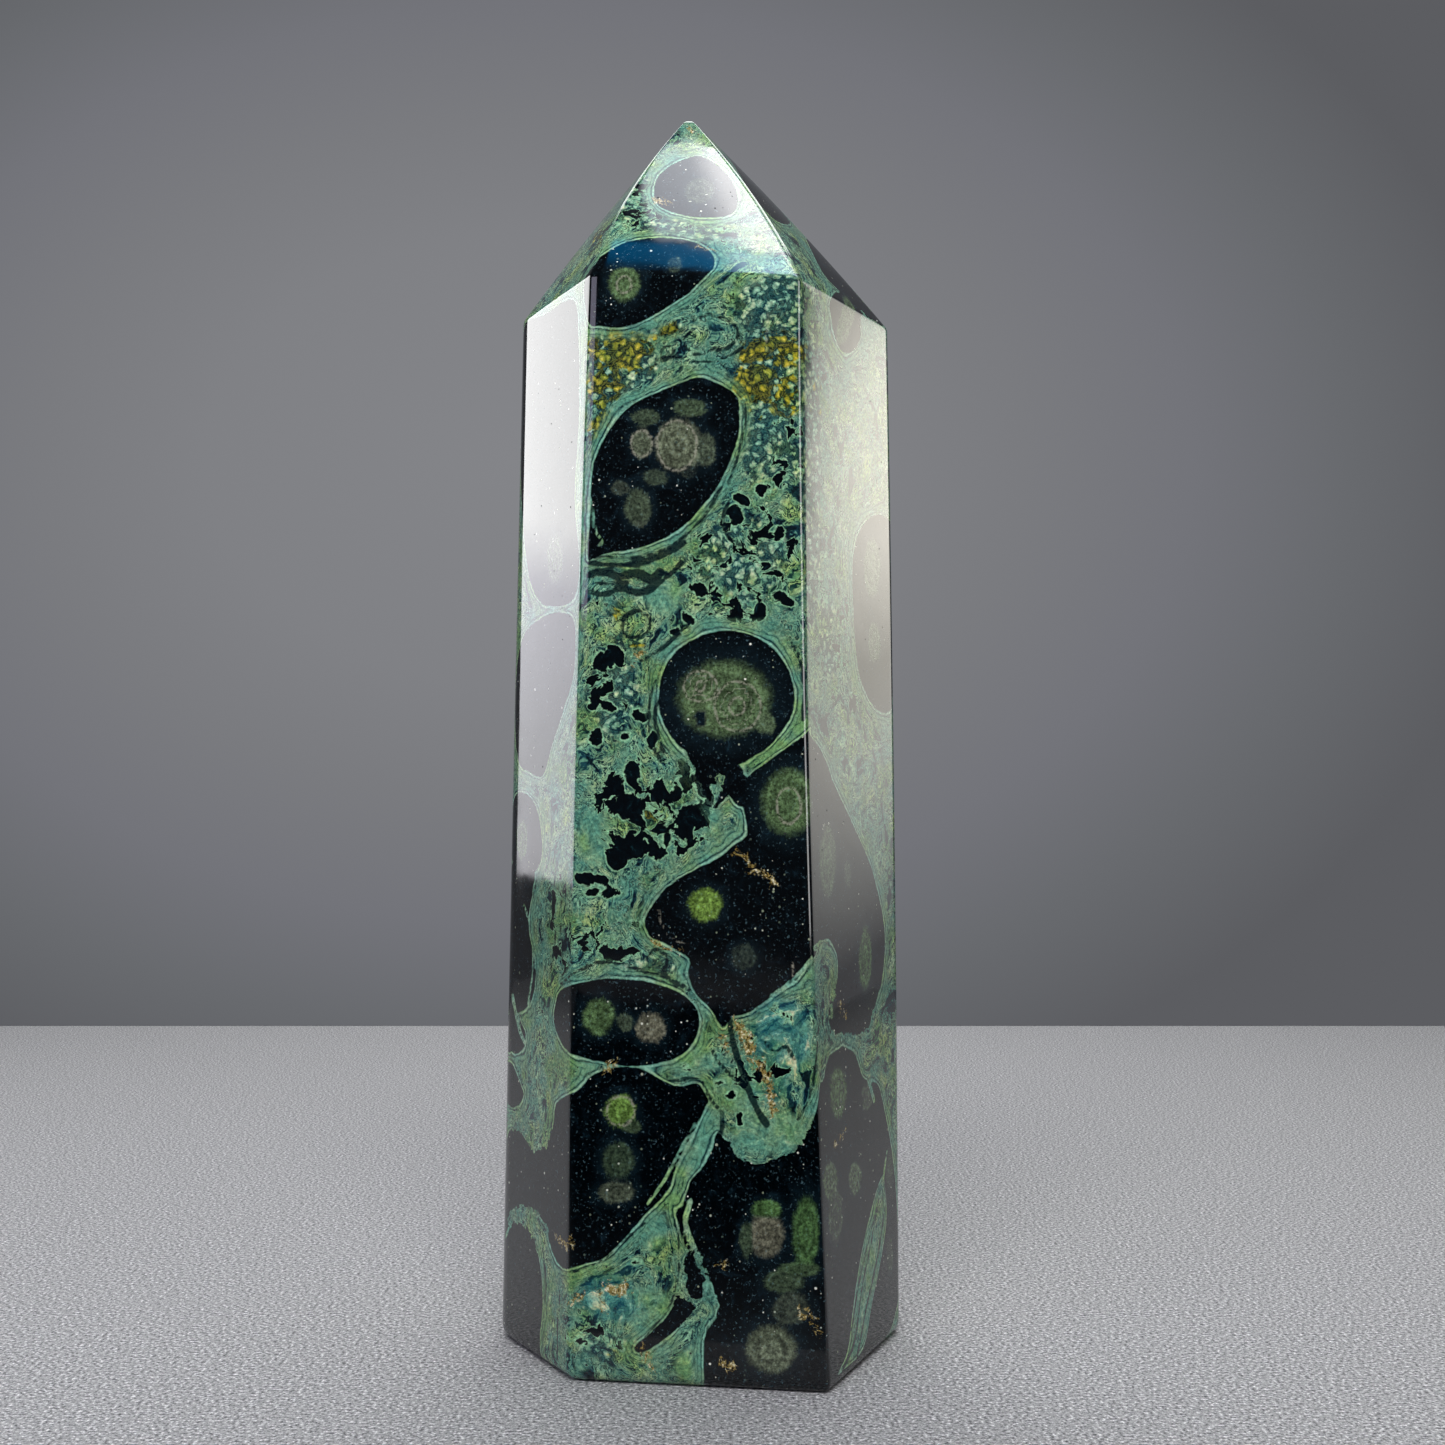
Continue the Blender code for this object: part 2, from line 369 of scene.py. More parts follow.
# Dark strokes: points (u, v) of each, and its half width in millimetres
DARK_STROKES = [
    ([(692, 322), (706, 315), (722, 318), (735, 326), (738, 337), (729, 347), (717, 350)], 0.28),
    ([(595, 557), (634, 558), (664, 549), (684, 537), (698, 523), (709, 508), (722, 486)], 0.22),
    ([(744, 400), (746, 418), (742, 440), (736, 462), (729, 482)], 0.20),
    ([(664, 694), (655, 712), (658, 734), (663, 752)], 0.30),
    ([(730, 1020), (733, 1040), (739, 1062), (747, 1085), (757, 1108), (766, 1124)], 0.55),
    ([(712, 1052), (722, 1066), (735, 1080), (746, 1090)], 0.30),
    (
        [(664, 1070), (671, 1080), (690, 1079), (702, 1081), (706, 1092), (716, 1106), (722, 1112)],
        0.28,
    ),
    ([(722, 1112), (722, 1128), (716, 1145)], 0.42),
    ([(560, 985), (575, 973), (600, 962), (622, 965), (645, 971), (668, 978), (690, 990)], 0.28),
    ([(664, 1203), (674, 1222), (680, 1250), (677, 1282), (668, 1308), (645, 1338)], 0.16),
    ([(823, 950), (824, 985), (820, 1020), (816, 1060), (810, 1095), (798, 1120)], 0.20),
    ([(829, 975), (829, 1010), (824, 1045), (820, 1075)], 0.18),
    ([(834, 985), (833, 1015), (829, 1040)], 0.18),
    ([(565, 1275), (600, 1262), (622, 1244), (645, 1222)], 0.16),
    ([(560, 1290), (557, 1330), (548, 1375)], 0.22),
    ([(646, 960), (655, 950), (668, 957), (664, 972), (676, 985)], 0.30),
    ([(556, 870), (552, 905), (555, 940), (548, 985)], 0.25),
    ([(566, 880), (560, 915), (563, 950)], 0.22),
    ([(812, 760), (826, 790), (844, 830), (858, 865)], 0.25),
    ([(765, 1043), (775, 1052), (786, 1046), (794, 1058)], 0.28),
    ([(660, 352), (666, 345), (674, 350), (670, 358), (662, 357)], 0.2),
    ([(716, 347), (700, 354), (688, 350), (684, 340), (692, 330)], 0.2),
    ([(654, 365), (676, 358), (700, 362), (724, 358), (742, 348)], 0.2),
    ([(590, 562), (612, 566), (640, 563), (664, 555), (684, 543)], 0.5),
    ([(590, 575), (604, 571), (618, 577), (638, 574), (652, 579), (660, 572)], 0.75),
    ([(590, 592), (604, 594), (620, 589), (636, 593), (650, 590)], 0.55),
    ([(652, 590), (662, 580), (672, 572), (682, 562)], 0.4),
    ([(596, 583), (612, 585), (628, 582)], 0.3),
    ([(730, 500), (724, 512), (724, 528), (732, 540), (742, 545)], 0.3),
    ([(638, 610), (650, 618), (648, 632), (636, 638), (624, 632), (624, 618), (636, 610)], 0.3),
    ([(640, 662), (660, 650), (676, 636), (690, 622)], 0.3),
    ([(656, 680), (650, 700), (648, 724), (652, 744), (660, 762)], 0.25),
    ([(790, 640), (800, 660), (805, 690), (803, 720)], 0.3),
    ([(742, 772), (735, 782), (726, 790)], 0.3),
    ([(881, 1190), (872, 1240), (862, 1290), (855, 1340), (851, 1380)], 0.3),
    ([(885, 1208), (877, 1258), (867, 1306), (858, 1360)], 0.28),
    ([(877, 1206), (867, 1246), (859, 1284), (852, 1330)], 0.24),
    ([(598, 305), (596, 320)], 0.1),
]

# Green strands laid over the dark: points (u, v) of each, and half widths in mm at its two ends
GREEN_STRANDS = [
    ([(812, 716), (802, 728), (788, 741), (768, 756), (746, 773)], 1.15, 0.35),
    ([(719, 1106), (708, 1128), (694, 1152), (684, 1172), (676, 1200)], 1.7, 1.2),
    ([(697, 1120), (680, 1150), (664, 1180), (648, 1204)], 0.18, 0.18),
    ([(690, 1200), (686, 1222), (693, 1246), (706, 1278), (716, 1306)], 0.35, 0.5),
    ([(592, 500), (594, 520), (597, 534), (603, 541), (600, 545)], 0.14, 0.25),
    ([(593, 560), (627, 561), (648, 555), (668, 545), (688, 530)], 0.22, 0.22),
    ([(720, 776), (716, 790), (708, 812), (700, 835), (690, 850)], 0.5, 1.0),
    ([(728, 798), (736, 815), (746, 834)], 0.4, 0.2),
    ([(652, 770), (668, 782), (664, 805), (656, 830), (640, 840)], 0.6, 0.35),
    ([(690, 790), (676, 806), (672, 830)], 0.3, 0.3),
    ([(662, 742), (668, 760), (678, 776), (692, 782)], 1.2, 0.2),
    ([(605, 850), (622, 836), (640, 834), (652, 822)], 0.25, 0.25),
    ([(545, 862), (534, 890), (540, 924), (541, 956), (538, 1000)], 0.6, 0.45),
    ([(524, 904), (531, 932), (533, 970), (528, 1002)], 0.3, 0.3),
    ([(526, 784), (538, 796), (548, 818), (546, 850), (543, 880)], 0.4, 0.5),
    ([(512, 996), (520, 1030), (529, 1048), (535, 1019)], 0.55, 0.4),
    ([(512, 1056), (522, 1082), (532, 1108), (546, 1146)], 0.7, 0.3),
    (
        [(506, 1238), (517, 1215), (529, 1219), (541, 1248), (546, 1281), (546, 1319), (538, 1358)],
        0.3,
        0.35,
    ),
    ([(887, 1150), (884, 1172), (882, 1190)], 0.2, 0.5),
    ([(815, 947), (828, 943), (835, 956), (834, 985), (832, 1015)], 0.5, 0.35),
    (
        [(822, 1078), (828, 1054), (838, 1042), (850, 1041), (860, 1052), (867, 1074), (874, 1100)],
        0.45,
        0.5,
    ),
    ([(748, 1086), (760, 1092), (790, 1120), (800, 1140)], 0.1, 0.1),
    ([(812, 958), (800, 972), (784, 987), (770, 996)], 0.12, 0.2),
    ([(812, 733), (822, 745), (838, 778), (852, 808), (868, 838), (884, 872)], 0.8, 0.6),
]

# Green places within the dark, as outlines
GREEN_OUTLINES = [
    [
        (882, 1176), (886, 1200), (886, 1228), (880, 1266), (872, 1306), (864, 1348), (858, 1382),
        (845, 1384), (848, 1350), (853, 1308), (859, 1266), (866, 1230), (874, 1200),
    ],
]

# Pale and bluish thin lines: points (u, v) of each
PALE_LINES = [
    [(659, 911), (661, 922), (668, 934), (678, 942), (691, 945)], [(767.5, 315), (766, 343)],
    [(792, 964), (794, 976)], [(832, 985), (829, 1004)], [(800, 626), (808, 632)],
]

# Eyes: u, v, half width, half height, tone from 0 (beige grey) to 1 (bright yellow green), strength
EYES = [
    (624, 283, 17, 18, 0.62, 1.0), (675, 265, 8, 8, 0.4, 0.35), (700, 190, 16, 14, 0.3, 0.45),
    (678, 446, 25, 28, 0.28, 1.0), (641, 444, 12, 15, 0.3, 0.9), (646, 417, 16, 9, 0.45, 0.5),
    (690, 408, 18, 10, 0.5, 0.6), (706, 450, 11, 18, 0.35, 0.6), (638, 507, 15, 20, 0.4, 0.6),
    (620, 488, 10, 8, 0.3, 0.35), (640, 522, 8, 5, 0.3, 0.5), (656, 478, 14, 9, 0.4, 0.4),
    (724, 699, 50, 41, 0.58, 1.0), (765, 724, 11, 11, 0.5, 0.8), (789, 802, 26, 36, 0.62, 1.0),
    (705, 905.5, 18, 18, 1.0, 1.0), (744, 957, 14, 14, 0.35, 0.22),
    (598, 1016, 17, 20, 0.66, 1.0), (650, 1028, 16, 17, 0.1, 0.9), (626, 1022, 9, 10, 0.4, 0.5),
    (620, 1111.5, 16.5, 17.5, 0.95, 1.0), (632, 1126, 10, 8, 0.55, 0.6), (
        618,
        1160,
        18,
        20,
        0.55,
        0.38,
    ),
    (616, 1192, 20, 12, 0.3, 0.6), (767, 1209, 16, 12, 0.8, 0.95), (766, 1236, 19, 24, 0.1, 0.85),
    (806, 1232, 15, 38, 0.8, 0.75), (784, 1282, 22, 13, 0.5, 0.55), (790, 1308, 20, 18, 0.3, 0.4),
    (771, 1349, 27, 26, 0.3, 1.0), (748, 1240, 8, 20, 0.5, 0.5), (800, 1270, 22, 9, 0.6, 0.6),
    (828, 860, 9, 38, 0.5, 0.75), (848, 874, 4, 14, 0.4, 0.5), (865, 958, 7, 34, 0.7, 0.9),
    (838, 1092, 9, 28, 0.62, 0.95), (867, 1098, 6, 16, 0.4, 0.6), (831, 1181, 8, 21, 0.5, 0.9),
    (855, 1178, 7, 19, 0.5, 0.9), (890, 1170, 4, 20, 0.4, 0.5), (890, 1255, 4, 20, 0.4, 0.5),
    (847, 318, 8, 25, 0.6, 0.9), (872, 568, 9, 32, 0.5, 0.9), (874, 642, 7, 22, 0.5, 0.8),
    (522, 840, 6, 21, 0.6, 0.9), (836, 1215, 8, 30, 0.4, 0.5), (555, 560, 9, 26, 0.4, 0.7),
    (701, 717, 8, 13, 0.3, 0.0), (690, 470, 8, 8, 0.3, 0.15),
]

# Fine rings in the eyes: u, v, half width, half height
EYE_RINGS = [
    (700, 687, 17, 15), (737.5, 706, 23, 25), (677, 446, 20, 25), (641, 444, 10.5, 13),
    (789, 806, 12, 18), (620, 1111.5, 14, 15), (624, 284, 7, 8), (737, 707, 8, 9), (700, 687, 5, 5),
]

# Gold and cream veins: points (u, v) and half width in millimetres
VEINS = [
    ([(736, 852), (746, 859), (754, 870), (769, 877), (774, 884)], 0.55),
    ([(737, 1024), (748, 1040), (752, 1058), (764, 1070), (770, 1090), (772, 1112)], 0.95),
    ([(722, 1036), (728, 1048)], 0.5), ([(604, 1068), (614, 1065)], 0.65),
    ([(610, 1288), (618, 1292), (624, 1288)], 1.0), ([(568, 1304), (582, 1296)], 0.55),
    ([(640, 1344), (650, 1362), (652, 1374)], 0.4), ([(800, 1312), (812, 1318), (818, 1330)], 0.35),
    ([(724, 1364), (731, 1367)], 0.55), ([(720, 1266), (728, 1264)], 0.45),
    ([(600, 1290), (604, 1312)], 0.4), ([(836, 1146), (844, 1132)], 0.4),
    ([(840, 1004), (846, 1016)], 0.6), ([(657, 200), (666, 203)], 0.7), (
        [(690, 129), (695, 134)],
        0.6,
    ),
    ([(556, 1238), (566, 1247), (570, 1243)], 0.45), ([(696, 246), (712, 249)], 0.5),
    ([(652, 942), (666, 948), (680, 950)], 0.3), ([(640, 652), (634, 664)], 0.4),
]

# Soft patches of another ground: kind, strength, u, v, half width, half height, tilt
GROUND_KINDS = OCHRE, TEAL, GRANULAR, CALM, BROKEN = range(5)
GROUND_PATCHES = [
    (OCHRE, 1.0, 620, 352, 32, 22, 0), (OCHRE, 0.9, 662, 331, 22, 6, 14),
    (OCHRE, 1.0, 604, 388, 15, 22, 0), (OCHRE, 0.9, 600, 424, 9, 20, -25),
    (OCHRE, 0.9, 772, 352, 34, 18, 0), (OCHRE, 1.0, 756, 382, 28, 22, 0),
    (OCHRE, 0.9, 784, 394, 15, 24, 0), (OCHRE, 0.7, 752, 412, 9, 14, 0),
    (OCHRE, 0.5, 630, 642, 24, 12, -15), (OCHRE, 0.5, 618, 612, 14, 10, 0),
    (OCHRE, 0.5, 836, 330, 9, 26, 0), (OCHRE, 0.45, 818, 395, 8, 20, 0),
    (OCHRE, 0.6, 596, 240, 5, 18, -30), (OCHRE, 0.5, 610, 1355, 8, 5, 0),
    (OCHRE, 0.45, 704, 276, 12, 4, -40), (OCHRE, 0.5, 640, 820, 20, 14, 0),
    (TEAL, 1.0, 778, 1040, 32, 44, 0), (TEAL, 0.9, 766, 1078, 26, 30, 0),
    (TEAL, 0.9, 612, 1298, 34, 24, -15),
    (GRANULAR, 1.0, 772, 306, 34, 30, 0), (GRANULAR, 1.0, 774, 452, 30, 38, 0),
    (GRANULAR, 0.5, 740, 560, 52, 44, 0), (GRANULAR, 0.9, 640, 345, 14, 14, 0),
    (GRANULAR, 0.9, 612, 690, 26, 40, 0), (GRANULAR, 1.0, 776, 380, 26, 44, 0),
    (GRANULAR, 1.0, 622, 360, 34, 30, 0), (GRANULAR, 0.9, 640, 970, 36, 10, 0),
    (GRANULAR, 0.6, 606, 1345, 40, 20, 0), (GRANULAR, 1.0, 812, 470, 8, 150, 0),
    (GRANULAR, 0.6, 830, 640, 12, 50, 0), (GRANULAR, 0.8, 636, 200, 14, 50, 20),
    (CALM, 1.0, 663, 596, 16, 18, 20), (CALM, 1.0, 594, 838, 16, 28, 0),
    (CALM, 1.0, 770, 1132, 36, 20, 0), (CALM, 1.0, 740, 1095, 14, 26, 30),
    (CALM, 1.0, 690, 1060, 30, 12, 0), (CALM, 1.0, 650, 1312, 22, 26, 30),
    (CALM, 0.7, 790, 1030, 16, 20, 0), (CALM, 1.0, 652, 1230, 14, 18, 0),
    (CALM, 1.0, 700, 1360, 26, 16, 30), (CALM, 0.7, 640, 570, 12, 8, 0),
    (CALM, 1.0, 694, 1140, 14, 44, -30), (CALM, 1.0, 708, 818, 10, 16, 20),
    (CALM, 1.0, 868, 1285, 12, 90, 8),
    (BROKEN, 1.0, 655, 808, 66, 60, 0), (BROKEN, 0.75, 745, 560, 60, 66, 0),
    (BROKEN, 0.75, 612, 690, 30, 50, 0), (BROKEN, 0.7, 780, 450, 30, 40, 0),
    (BROKEN, 0.7, 606, 930, 40, 40, 0), (BROKEN, 0.6, 700, 348, 30, 12, 18),
    (BROKEN, 0.8, 560, 930, 12, 60, 0), (BROKEN, 0.6, 850, 660, 30, 60, 0),
    (BROKEN, 0.7, 640, 200, 20, 60, 0), (BROKEN, 0.75, 606, 1340, 44, 20, 0),
    (BROKEN, 0.6, 760, 1040, 40, 60, 0), (BROKEN, 0.6, 590, 610, 20, 20, 0),
]

# Where the dark's own border is ragged instead of clean: u, v, half width, half height
RAGGED_PLACES = [
    (640, 820, 60, 60), (800, 1150, 50, 30), (530, 1180, 40, 70), (850, 1010, 30, 30),
    (700, 785, 30, 30), (860, 290, 40, 50), (690, 1290, 20, 40),
]

# An outline that comes lower than this goes on under the foot, in millimetres
FOOT_REACH = 3.6

# How far the feathers of an eye reach at most, in millimetres
EYE_FRINGE = 1.5

# Balls of dark that carry on, on the hidden faces, what the photograph cuts off at its outline, as
# their centres and radii. The other orbs and patches of the hidden faces are spread at random.
EDGE_BALLS = [
    ((32.0, -0.5, 116), (7, 7, 14.5)), ((32.2, -0.6, 4), (9, 9, 32)), ((9.1, 0.6, 188), (8, 8, 8)),
    ((23.7, 0.0, 172), (9, 9, 9)), ((-31.9, -2.2, 61), (6, 6, 20)), ((-32.4, -2.3, 24), (5, 5, 7)),
    ((-32.6, -2.4, 6), (6, 6, 14)),
]
HIDDEN_SEED = 7
HIDDEN_TRIES = 500
HIDDEN_PATCHES = 34
HIDDEN_ORB_RADII = (4.5, 7.5, 11.0, 14.0)
HIDDEN_ORB_SHARES = (0.3, 0.3, 0.2, 0.2)

# How near two hidden orbs may come, as a share of both radii, and an orb to the faces seen
ORBS_APART = 0.84
SEEN_CLEAR = 0.6

# How ragged and how broken the hidden ground is
HIDDEN_RAGGED, HIDDEN_BROKEN = 0.2, 0.5

# A distance beyond every marking, and how far the fields of distance reach inward and outward
FAR = 20.0
DEEPEST, WIDEST = -8, 12

# The eyes' own radius where there is no eye, and the one that their field ends at
NO_EYE, EYE_FIELD_END = 9, 4

# How wide the edges of the patches and of the ragged places fade out
PATCH_FADE, RAGGED_FADE = 3, 4

# A dark stroke starts thinner than it ends, and a vein is a little thinner than its width says
STROKE_START, VEIN_SHARE = 0.7, 0.8


def smooth_line(points, closed, steps=4):
    """A Catmull-Rom spline through the points, steps to a span, as (n, 2)."""
    p = np.array(points, float)
    if len(p) < 3:
        return p
    ends = (p[-1:], p[:2]) if closed else (2 * p[:1] - p[1:2], 2 * p[-1:] - p[-2:-1])
    p = np.concatenate([ends[0], p, ends[1]])
    a, b, c, d = (p[i : len(p) - 3 + i, None] for i in range(4))
    t = (np.arange(steps) / steps)[None, :, None]
    span = b + 0.5 * t * (c - a + t * (2 * a - 5 * b + 4 * c - d + t * (3 * (b - c) + d - a)))
    line = span.reshape(-1, 2)
    return line if closed else np.concatenate([line, p[-2:-1]])


def stroke_distance(at, line, start_width, end_width=None):
    """Distance of places on the map from a stroke, negative inside it: to the nearest point of
    its line, less the half width there.
    """
    widths = np.linspace(start_width, start_width if end_width is None else end_width, len(line))
    nearest = np.full(at.shape[:-1], np.inf)
    for a, b, width_a, width_b in zip(line[:-1], line[1:], widths[:-1], widths[1:]):
        along = b - a
        t = np.clip(((at - a) @ along) / max(along @ along, 1e-9), 0, 1)
        gap = np.linalg.norm(at - a - t[..., None] * along, axis=-1)
        nearest = np.minimum(nearest, gap - width_a - t * (width_b - width_a))
    return nearest


def outline_distance(at, loop):
    """Distance of places on the map from a closed outline, negative inside it (crossing rule)."""
    closed = np.concatenate([loop, loop[:1]])
    inside = np.zeros(at.shape[:-1], bool)
    for a, b in zip(closed[:-1], closed[1:]):
        rising = (a[1] > at[..., 1]) != (b[1] > at[..., 1])
        cross = a[0] + (at[..., 1] - a[1]) * (b[0] - a[0]) / (b[1] - a[1] + 1e-12)
        inside ^= rising & (at[..., 0] < cross)
    return np.where(inside, -1, 1) * stroke_distance(at, closed, 0)


class Map:
    """The unrolled skin, and how a pixel of the photograph is found on it."""

    def __init__(self, skin):
        self.at = unrolled(skin)
        faces = column_faces()
        seen = np.isin(faces, (LEFT, FRONT, RIGHT))
        self.pixels = in_photo(skin[FIRST_SIDE_ROW:, seen]).reshape(-1, 2)
        self.seen_at = self.at[FIRST_SIDE_ROW:, seen].reshape(-1, 2)
        self.round = np.ptp(self.at[FIRST_SIDE_ROW, :, 0]) + FACE_BULGE

    def find(self, points):
        """Places (s, h) of photograph pixels: the nearest three grid points, weighted."""
        places = []
        for pixel in np.atleast_2d(np.array(points, float)):
            gap = ((self.pixels - pixel) ** 2).sum(1)
            near = np.argpartition(gap, 3)[:3]
            weight = 1 / (gap[near] + 0.05)
            places.append((weight[:, None] * self.seen_at[near]).sum(0) / weight.sum())
        return np.array(places)

    def oval(self, u, v, half_width, half_height, tilt=0):
        """An oval in the photograph as its centre and its 2x2 matrix of half axes on the map."""
        turn = np.radians(tilt)
        across = half_width * np.array((np.cos(turn), -np.sin(turn)))
        upward = half_height * np.array((-np.sin(turn), -np.cos(turn)))
        middle = np.array((u, v))
        right, left, top, low = middle + across, middle - across, middle + upward, middle - upward
        centre, right, left, top, low = self.find([middle, right, left, top, low])
        return centre, np.stack([right - left, top - low], 1) / 2

    def from_stroke(self, points, start_width, end_width=None):
        """Distance of the map's places from a stroke through photograph pixels."""
        line = smooth_line(self.find(points), False)
        return stroke_distance(self.at, line, start_width, end_width)

    def from_oval(self, centre, axes):
        """Places in an oval's own frame (its rim at length 1), and their distance in mm."""
        away = self.at - centre
        away[..., 0] -= self.round * np.round(away[..., 0] / self.round)
        inverse = np.linalg.inv(axes)
        own = away @ inverse.T
        k = np.linalg.norm(own, axis=-1)
        slope = np.linalg.norm((own / np.maximum(k, 1e-6)[..., None]) @ inverse, axis=-1)
        return own, (k - 1) / slope


def ball(skin, centre, radii):
    """Places in a ball's own frame (its surface at length 1), that length, and the distance from
    the surface in millimetres.
    """
    own = (skin - centre) / radii
    k = np.linalg.norm(own, axis=-1)
    slope = np.linalg.norm(own / radii, axis=-1) / np.maximum(k, 1e-6)
    return own, k, (k - 1) / slope


def hidden_markings(skin, hidden):
    """Orbs with their eyes, and patches of other ground, for the faces that the photograph doesn't
    show: balls in the stone, cut by its surface, spread at random and clear of the faces seen.
    """
    random = np.random.default_rng(HIDDEN_SEED)
    seen = skin[:, ~hidden].reshape(-1, 3)
    back = skin[FIRST_SIDE_ROW:, hidden].reshape(-1, 3)
    dark, eyes, patches = [], [], []
    for _ in range(HIDDEN_TRIES):
        place = back[random.integers(len(back))]
        size = random.choice(HIDDEN_ORB_RADII, p=HIDDEN_ORB_SHARES) * random.uniform(0.85, 1.15)
        inward = -place * (1, 1, 0) / np.linalg.norm(place[:2])
        centre = place + inward * size * random.uniform(0.0, 0.5)
        apart = all(
            np.linalg.norm(centre - other) > ORBS_APART * (size + radii[0]) for other, radii in dark
        )
        if not apart or np.linalg.norm(seen - centre, axis=1).min() < size + SEEN_CLEAR:
            continue
        dark.append((centre, size * np.ones(3)))
        for _ in range(random.integers(1, 3)):
            middle = place + random.normal(0, 0.22 * size, 3)
            radii = size * random.uniform(0.25, 0.5) * random.uniform(0.8, 1.25, 3)
            eyes.append((middle, radii, random.uniform(0.2, 1), random.uniform(0.6, 1)))
    for _ in range(HIDDEN_PATCHES):
        place = back[random.integers(len(back))]
        radii = random.uniform(4, 13, 3)
        patches.append((random.integers(len(GROUND_KINDS)), random.uniform(0.6, 1), place, radii))
    return dark, eyes, patches


def dark_distance(chart, skin, hidden, hidden_dark):
    """The distance from the dark, negative inside it: the least of all outlines, with the green
    places and strands cut out of it, then the least of all balls on the hidden faces.
    """
    dark = np.full(chart.at.shape[:-1], FAR)
    for points in DARK_OUTLINES.values():
        places = chart.find(points)
        places[places[:, 1] < FOOT_REACH, 1] = -FOOT_REACH
        dark = np.minimum(dark, outline_distance(chart.at, smooth_line(places, True)))
    for points in GREEN_OUTLINES:
        dark = np.maximum(dark, -outline_distance(chart.at, smooth_line(chart.find(points), True)))
    for points, start, end in GREEN_STRANDS:
        dark = np.maximum(dark, -chart.from_stroke(points, start, end))
    for centre, radii in EDGE_BALLS + hidden_dark:
        distance = ball(skin[:, hidden], centre, np.array(radii))[2]
        dark[:, hidden] = np.minimum(dark[:, hidden], distance)
    return dark


def eye_fields(chart, skin, hidden, hidden_eyes):
    """Two vectors: the nearest eye's own radius (its rim at 1), tone and strength, and the way out
    from its middle with the reach of its feathers.
    """
    eye = np.zeros((*chart.at.shape[:-1], 3))
    eye[..., 0] = NO_EYE
    spoke = np.zeros(eye.shape)

    def lay(where, k, look, way_out, size):
        nearer = (k < eye[..., 0]) & where
        eye[nearer] = np.stack([k, *(np.full(k.shape, value) for value in look)], -1)[nearer]
        spoke[nearer, :2] = (way_out / np.maximum(k, 0.05)[..., None])[nearer]
        spoke[nearer, 2] = min(1, EYE_FRINGE / size)

    for u, v, half_width, half_height, *look in EYES:
        centre, axes = chart.oval(u, v, half_width, half_height)
        own, _ = chart.from_oval(centre, axes)
        lay(True, np.linalg.norm(own, axis=-1), look, own, np.sqrt(abs(np.linalg.det(axes))))
    for centre, radii, *look in hidden_eyes:
        own, k, _ = ball(skin, centre, radii)
        own[..., 0] += own[..., 1]
        lay(hidden, k, look, own[..., ::2], radii.mean())
    eye[..., 0] = np.minimum(eye[..., 0], EYE_FIELD_END)
    return eye, spoke


def ground_shares(chart, skin, hidden, hidden_patches):
    """How much of each kind of ground lies at each place, from 0 to 1, and how ragged it is."""
    ground = np.zeros((len(GROUND_KINDS), *chart.at.shape[:-1]))
    for kind, strength, *numbers in GROUND_PATCHES:
        distance = chart.from_oval(*chart.oval(*numbers))[1]
        share = strength * np.clip(0.5 - distance / PATCH_FADE, 0, 1)
        ground[kind] = np.maximum(ground[kind], share)
    for kind, strength, centre, radii in hidden_patches:
        distance = ball(skin[:, hidden], centre, radii)[2]
        share = strength * np.clip(0.5 - distance / PATCH_FADE, 0, 1)
        ground[kind][:, hidden] = np.maximum(ground[kind][:, hidden], share)
    ground[BROKEN][:, hidden] = np.maximum(ground[BROKEN][:, hidden], HIDDEN_BROKEN)
    ragged = np.zeros(chart.at.shape[:-1])
    for numbers in RAGGED_PLACES:
        distance = chart.from_oval(*chart.oval(*numbers))[1]
        ragged = np.maximum(ragged, np.clip(0.5 - distance / RAGGED_FADE, 0, 1))
    ragged[:, hidden] = HIDDEN_RAGGED
    return ground, ragged


def markings(skin):
    """Every field that the material reads, one value for each point of the skin: distances from the
    drawn markings in millimetres, negative inside them, and the shares of the kinds of ground.
    """
    chart = Map(skin)
    hidden = np.isin(column_faces(), (BACK_RIGHT, BACK, BACK_LEFT))
    hidden_dark, hidden_eyes, hidden_patches = hidden_markings(skin, hidden)
    fragment, stroke, ring, vein = (np.full(chart.at.shape[:-1], FAR) for _ in range(4))
    for numbers in DARK_FRAGMENTS:
        fragment = np.minimum(fragment, chart.from_oval(*chart.oval(*numbers))[1])
    for points, width in DARK_STROKES:
        stroke = np.minimum(stroke, chart.from_stroke(points, width * STROKE_START, width))
    for numbers in EYE_RINGS:
        distance = chart.from_oval(*chart.oval(*numbers))[1]
        ring = np.where(np.abs(distance) < np.abs(ring), distance, ring)
    for points in PALE_LINES:
        distance = chart.from_stroke(points, 0)
        ring = np.where(distance < np.abs(ring), distance, ring)
    for points, width in VEINS:
        vein = np.minimum(vein, chart.from_stroke(points, width * VEIN_SHARE))
    eye, spoke = eye_fields(chart, skin, hidden, hidden_eyes)
    ground, ragged = ground_shares(chart, skin, hidden, hidden_patches)
    return {
        "dark": np.clip(dark_distance(chart, skin, hidden, hidden_dark), DEEPEST, WIDEST),
        "fragment": np.clip(fragment, DEEPEST, WIDEST),
        "line": np.clip(stroke, DEEPEST, WIDEST),
        "ring": np.clip(ring, -WIDEST, WIDEST),
        "vein": np.clip(vein, DEEPEST, WIDEST),
        "ragged": ragged,
        "calm": ground[CALM],
        "broken": ground[BROKEN],
        "eye": eye,
        "spoke": spoke,
        "ground": np.moveaxis(ground[[OCHRE, TEAL, GRANULAR]], 0, -1),
    }


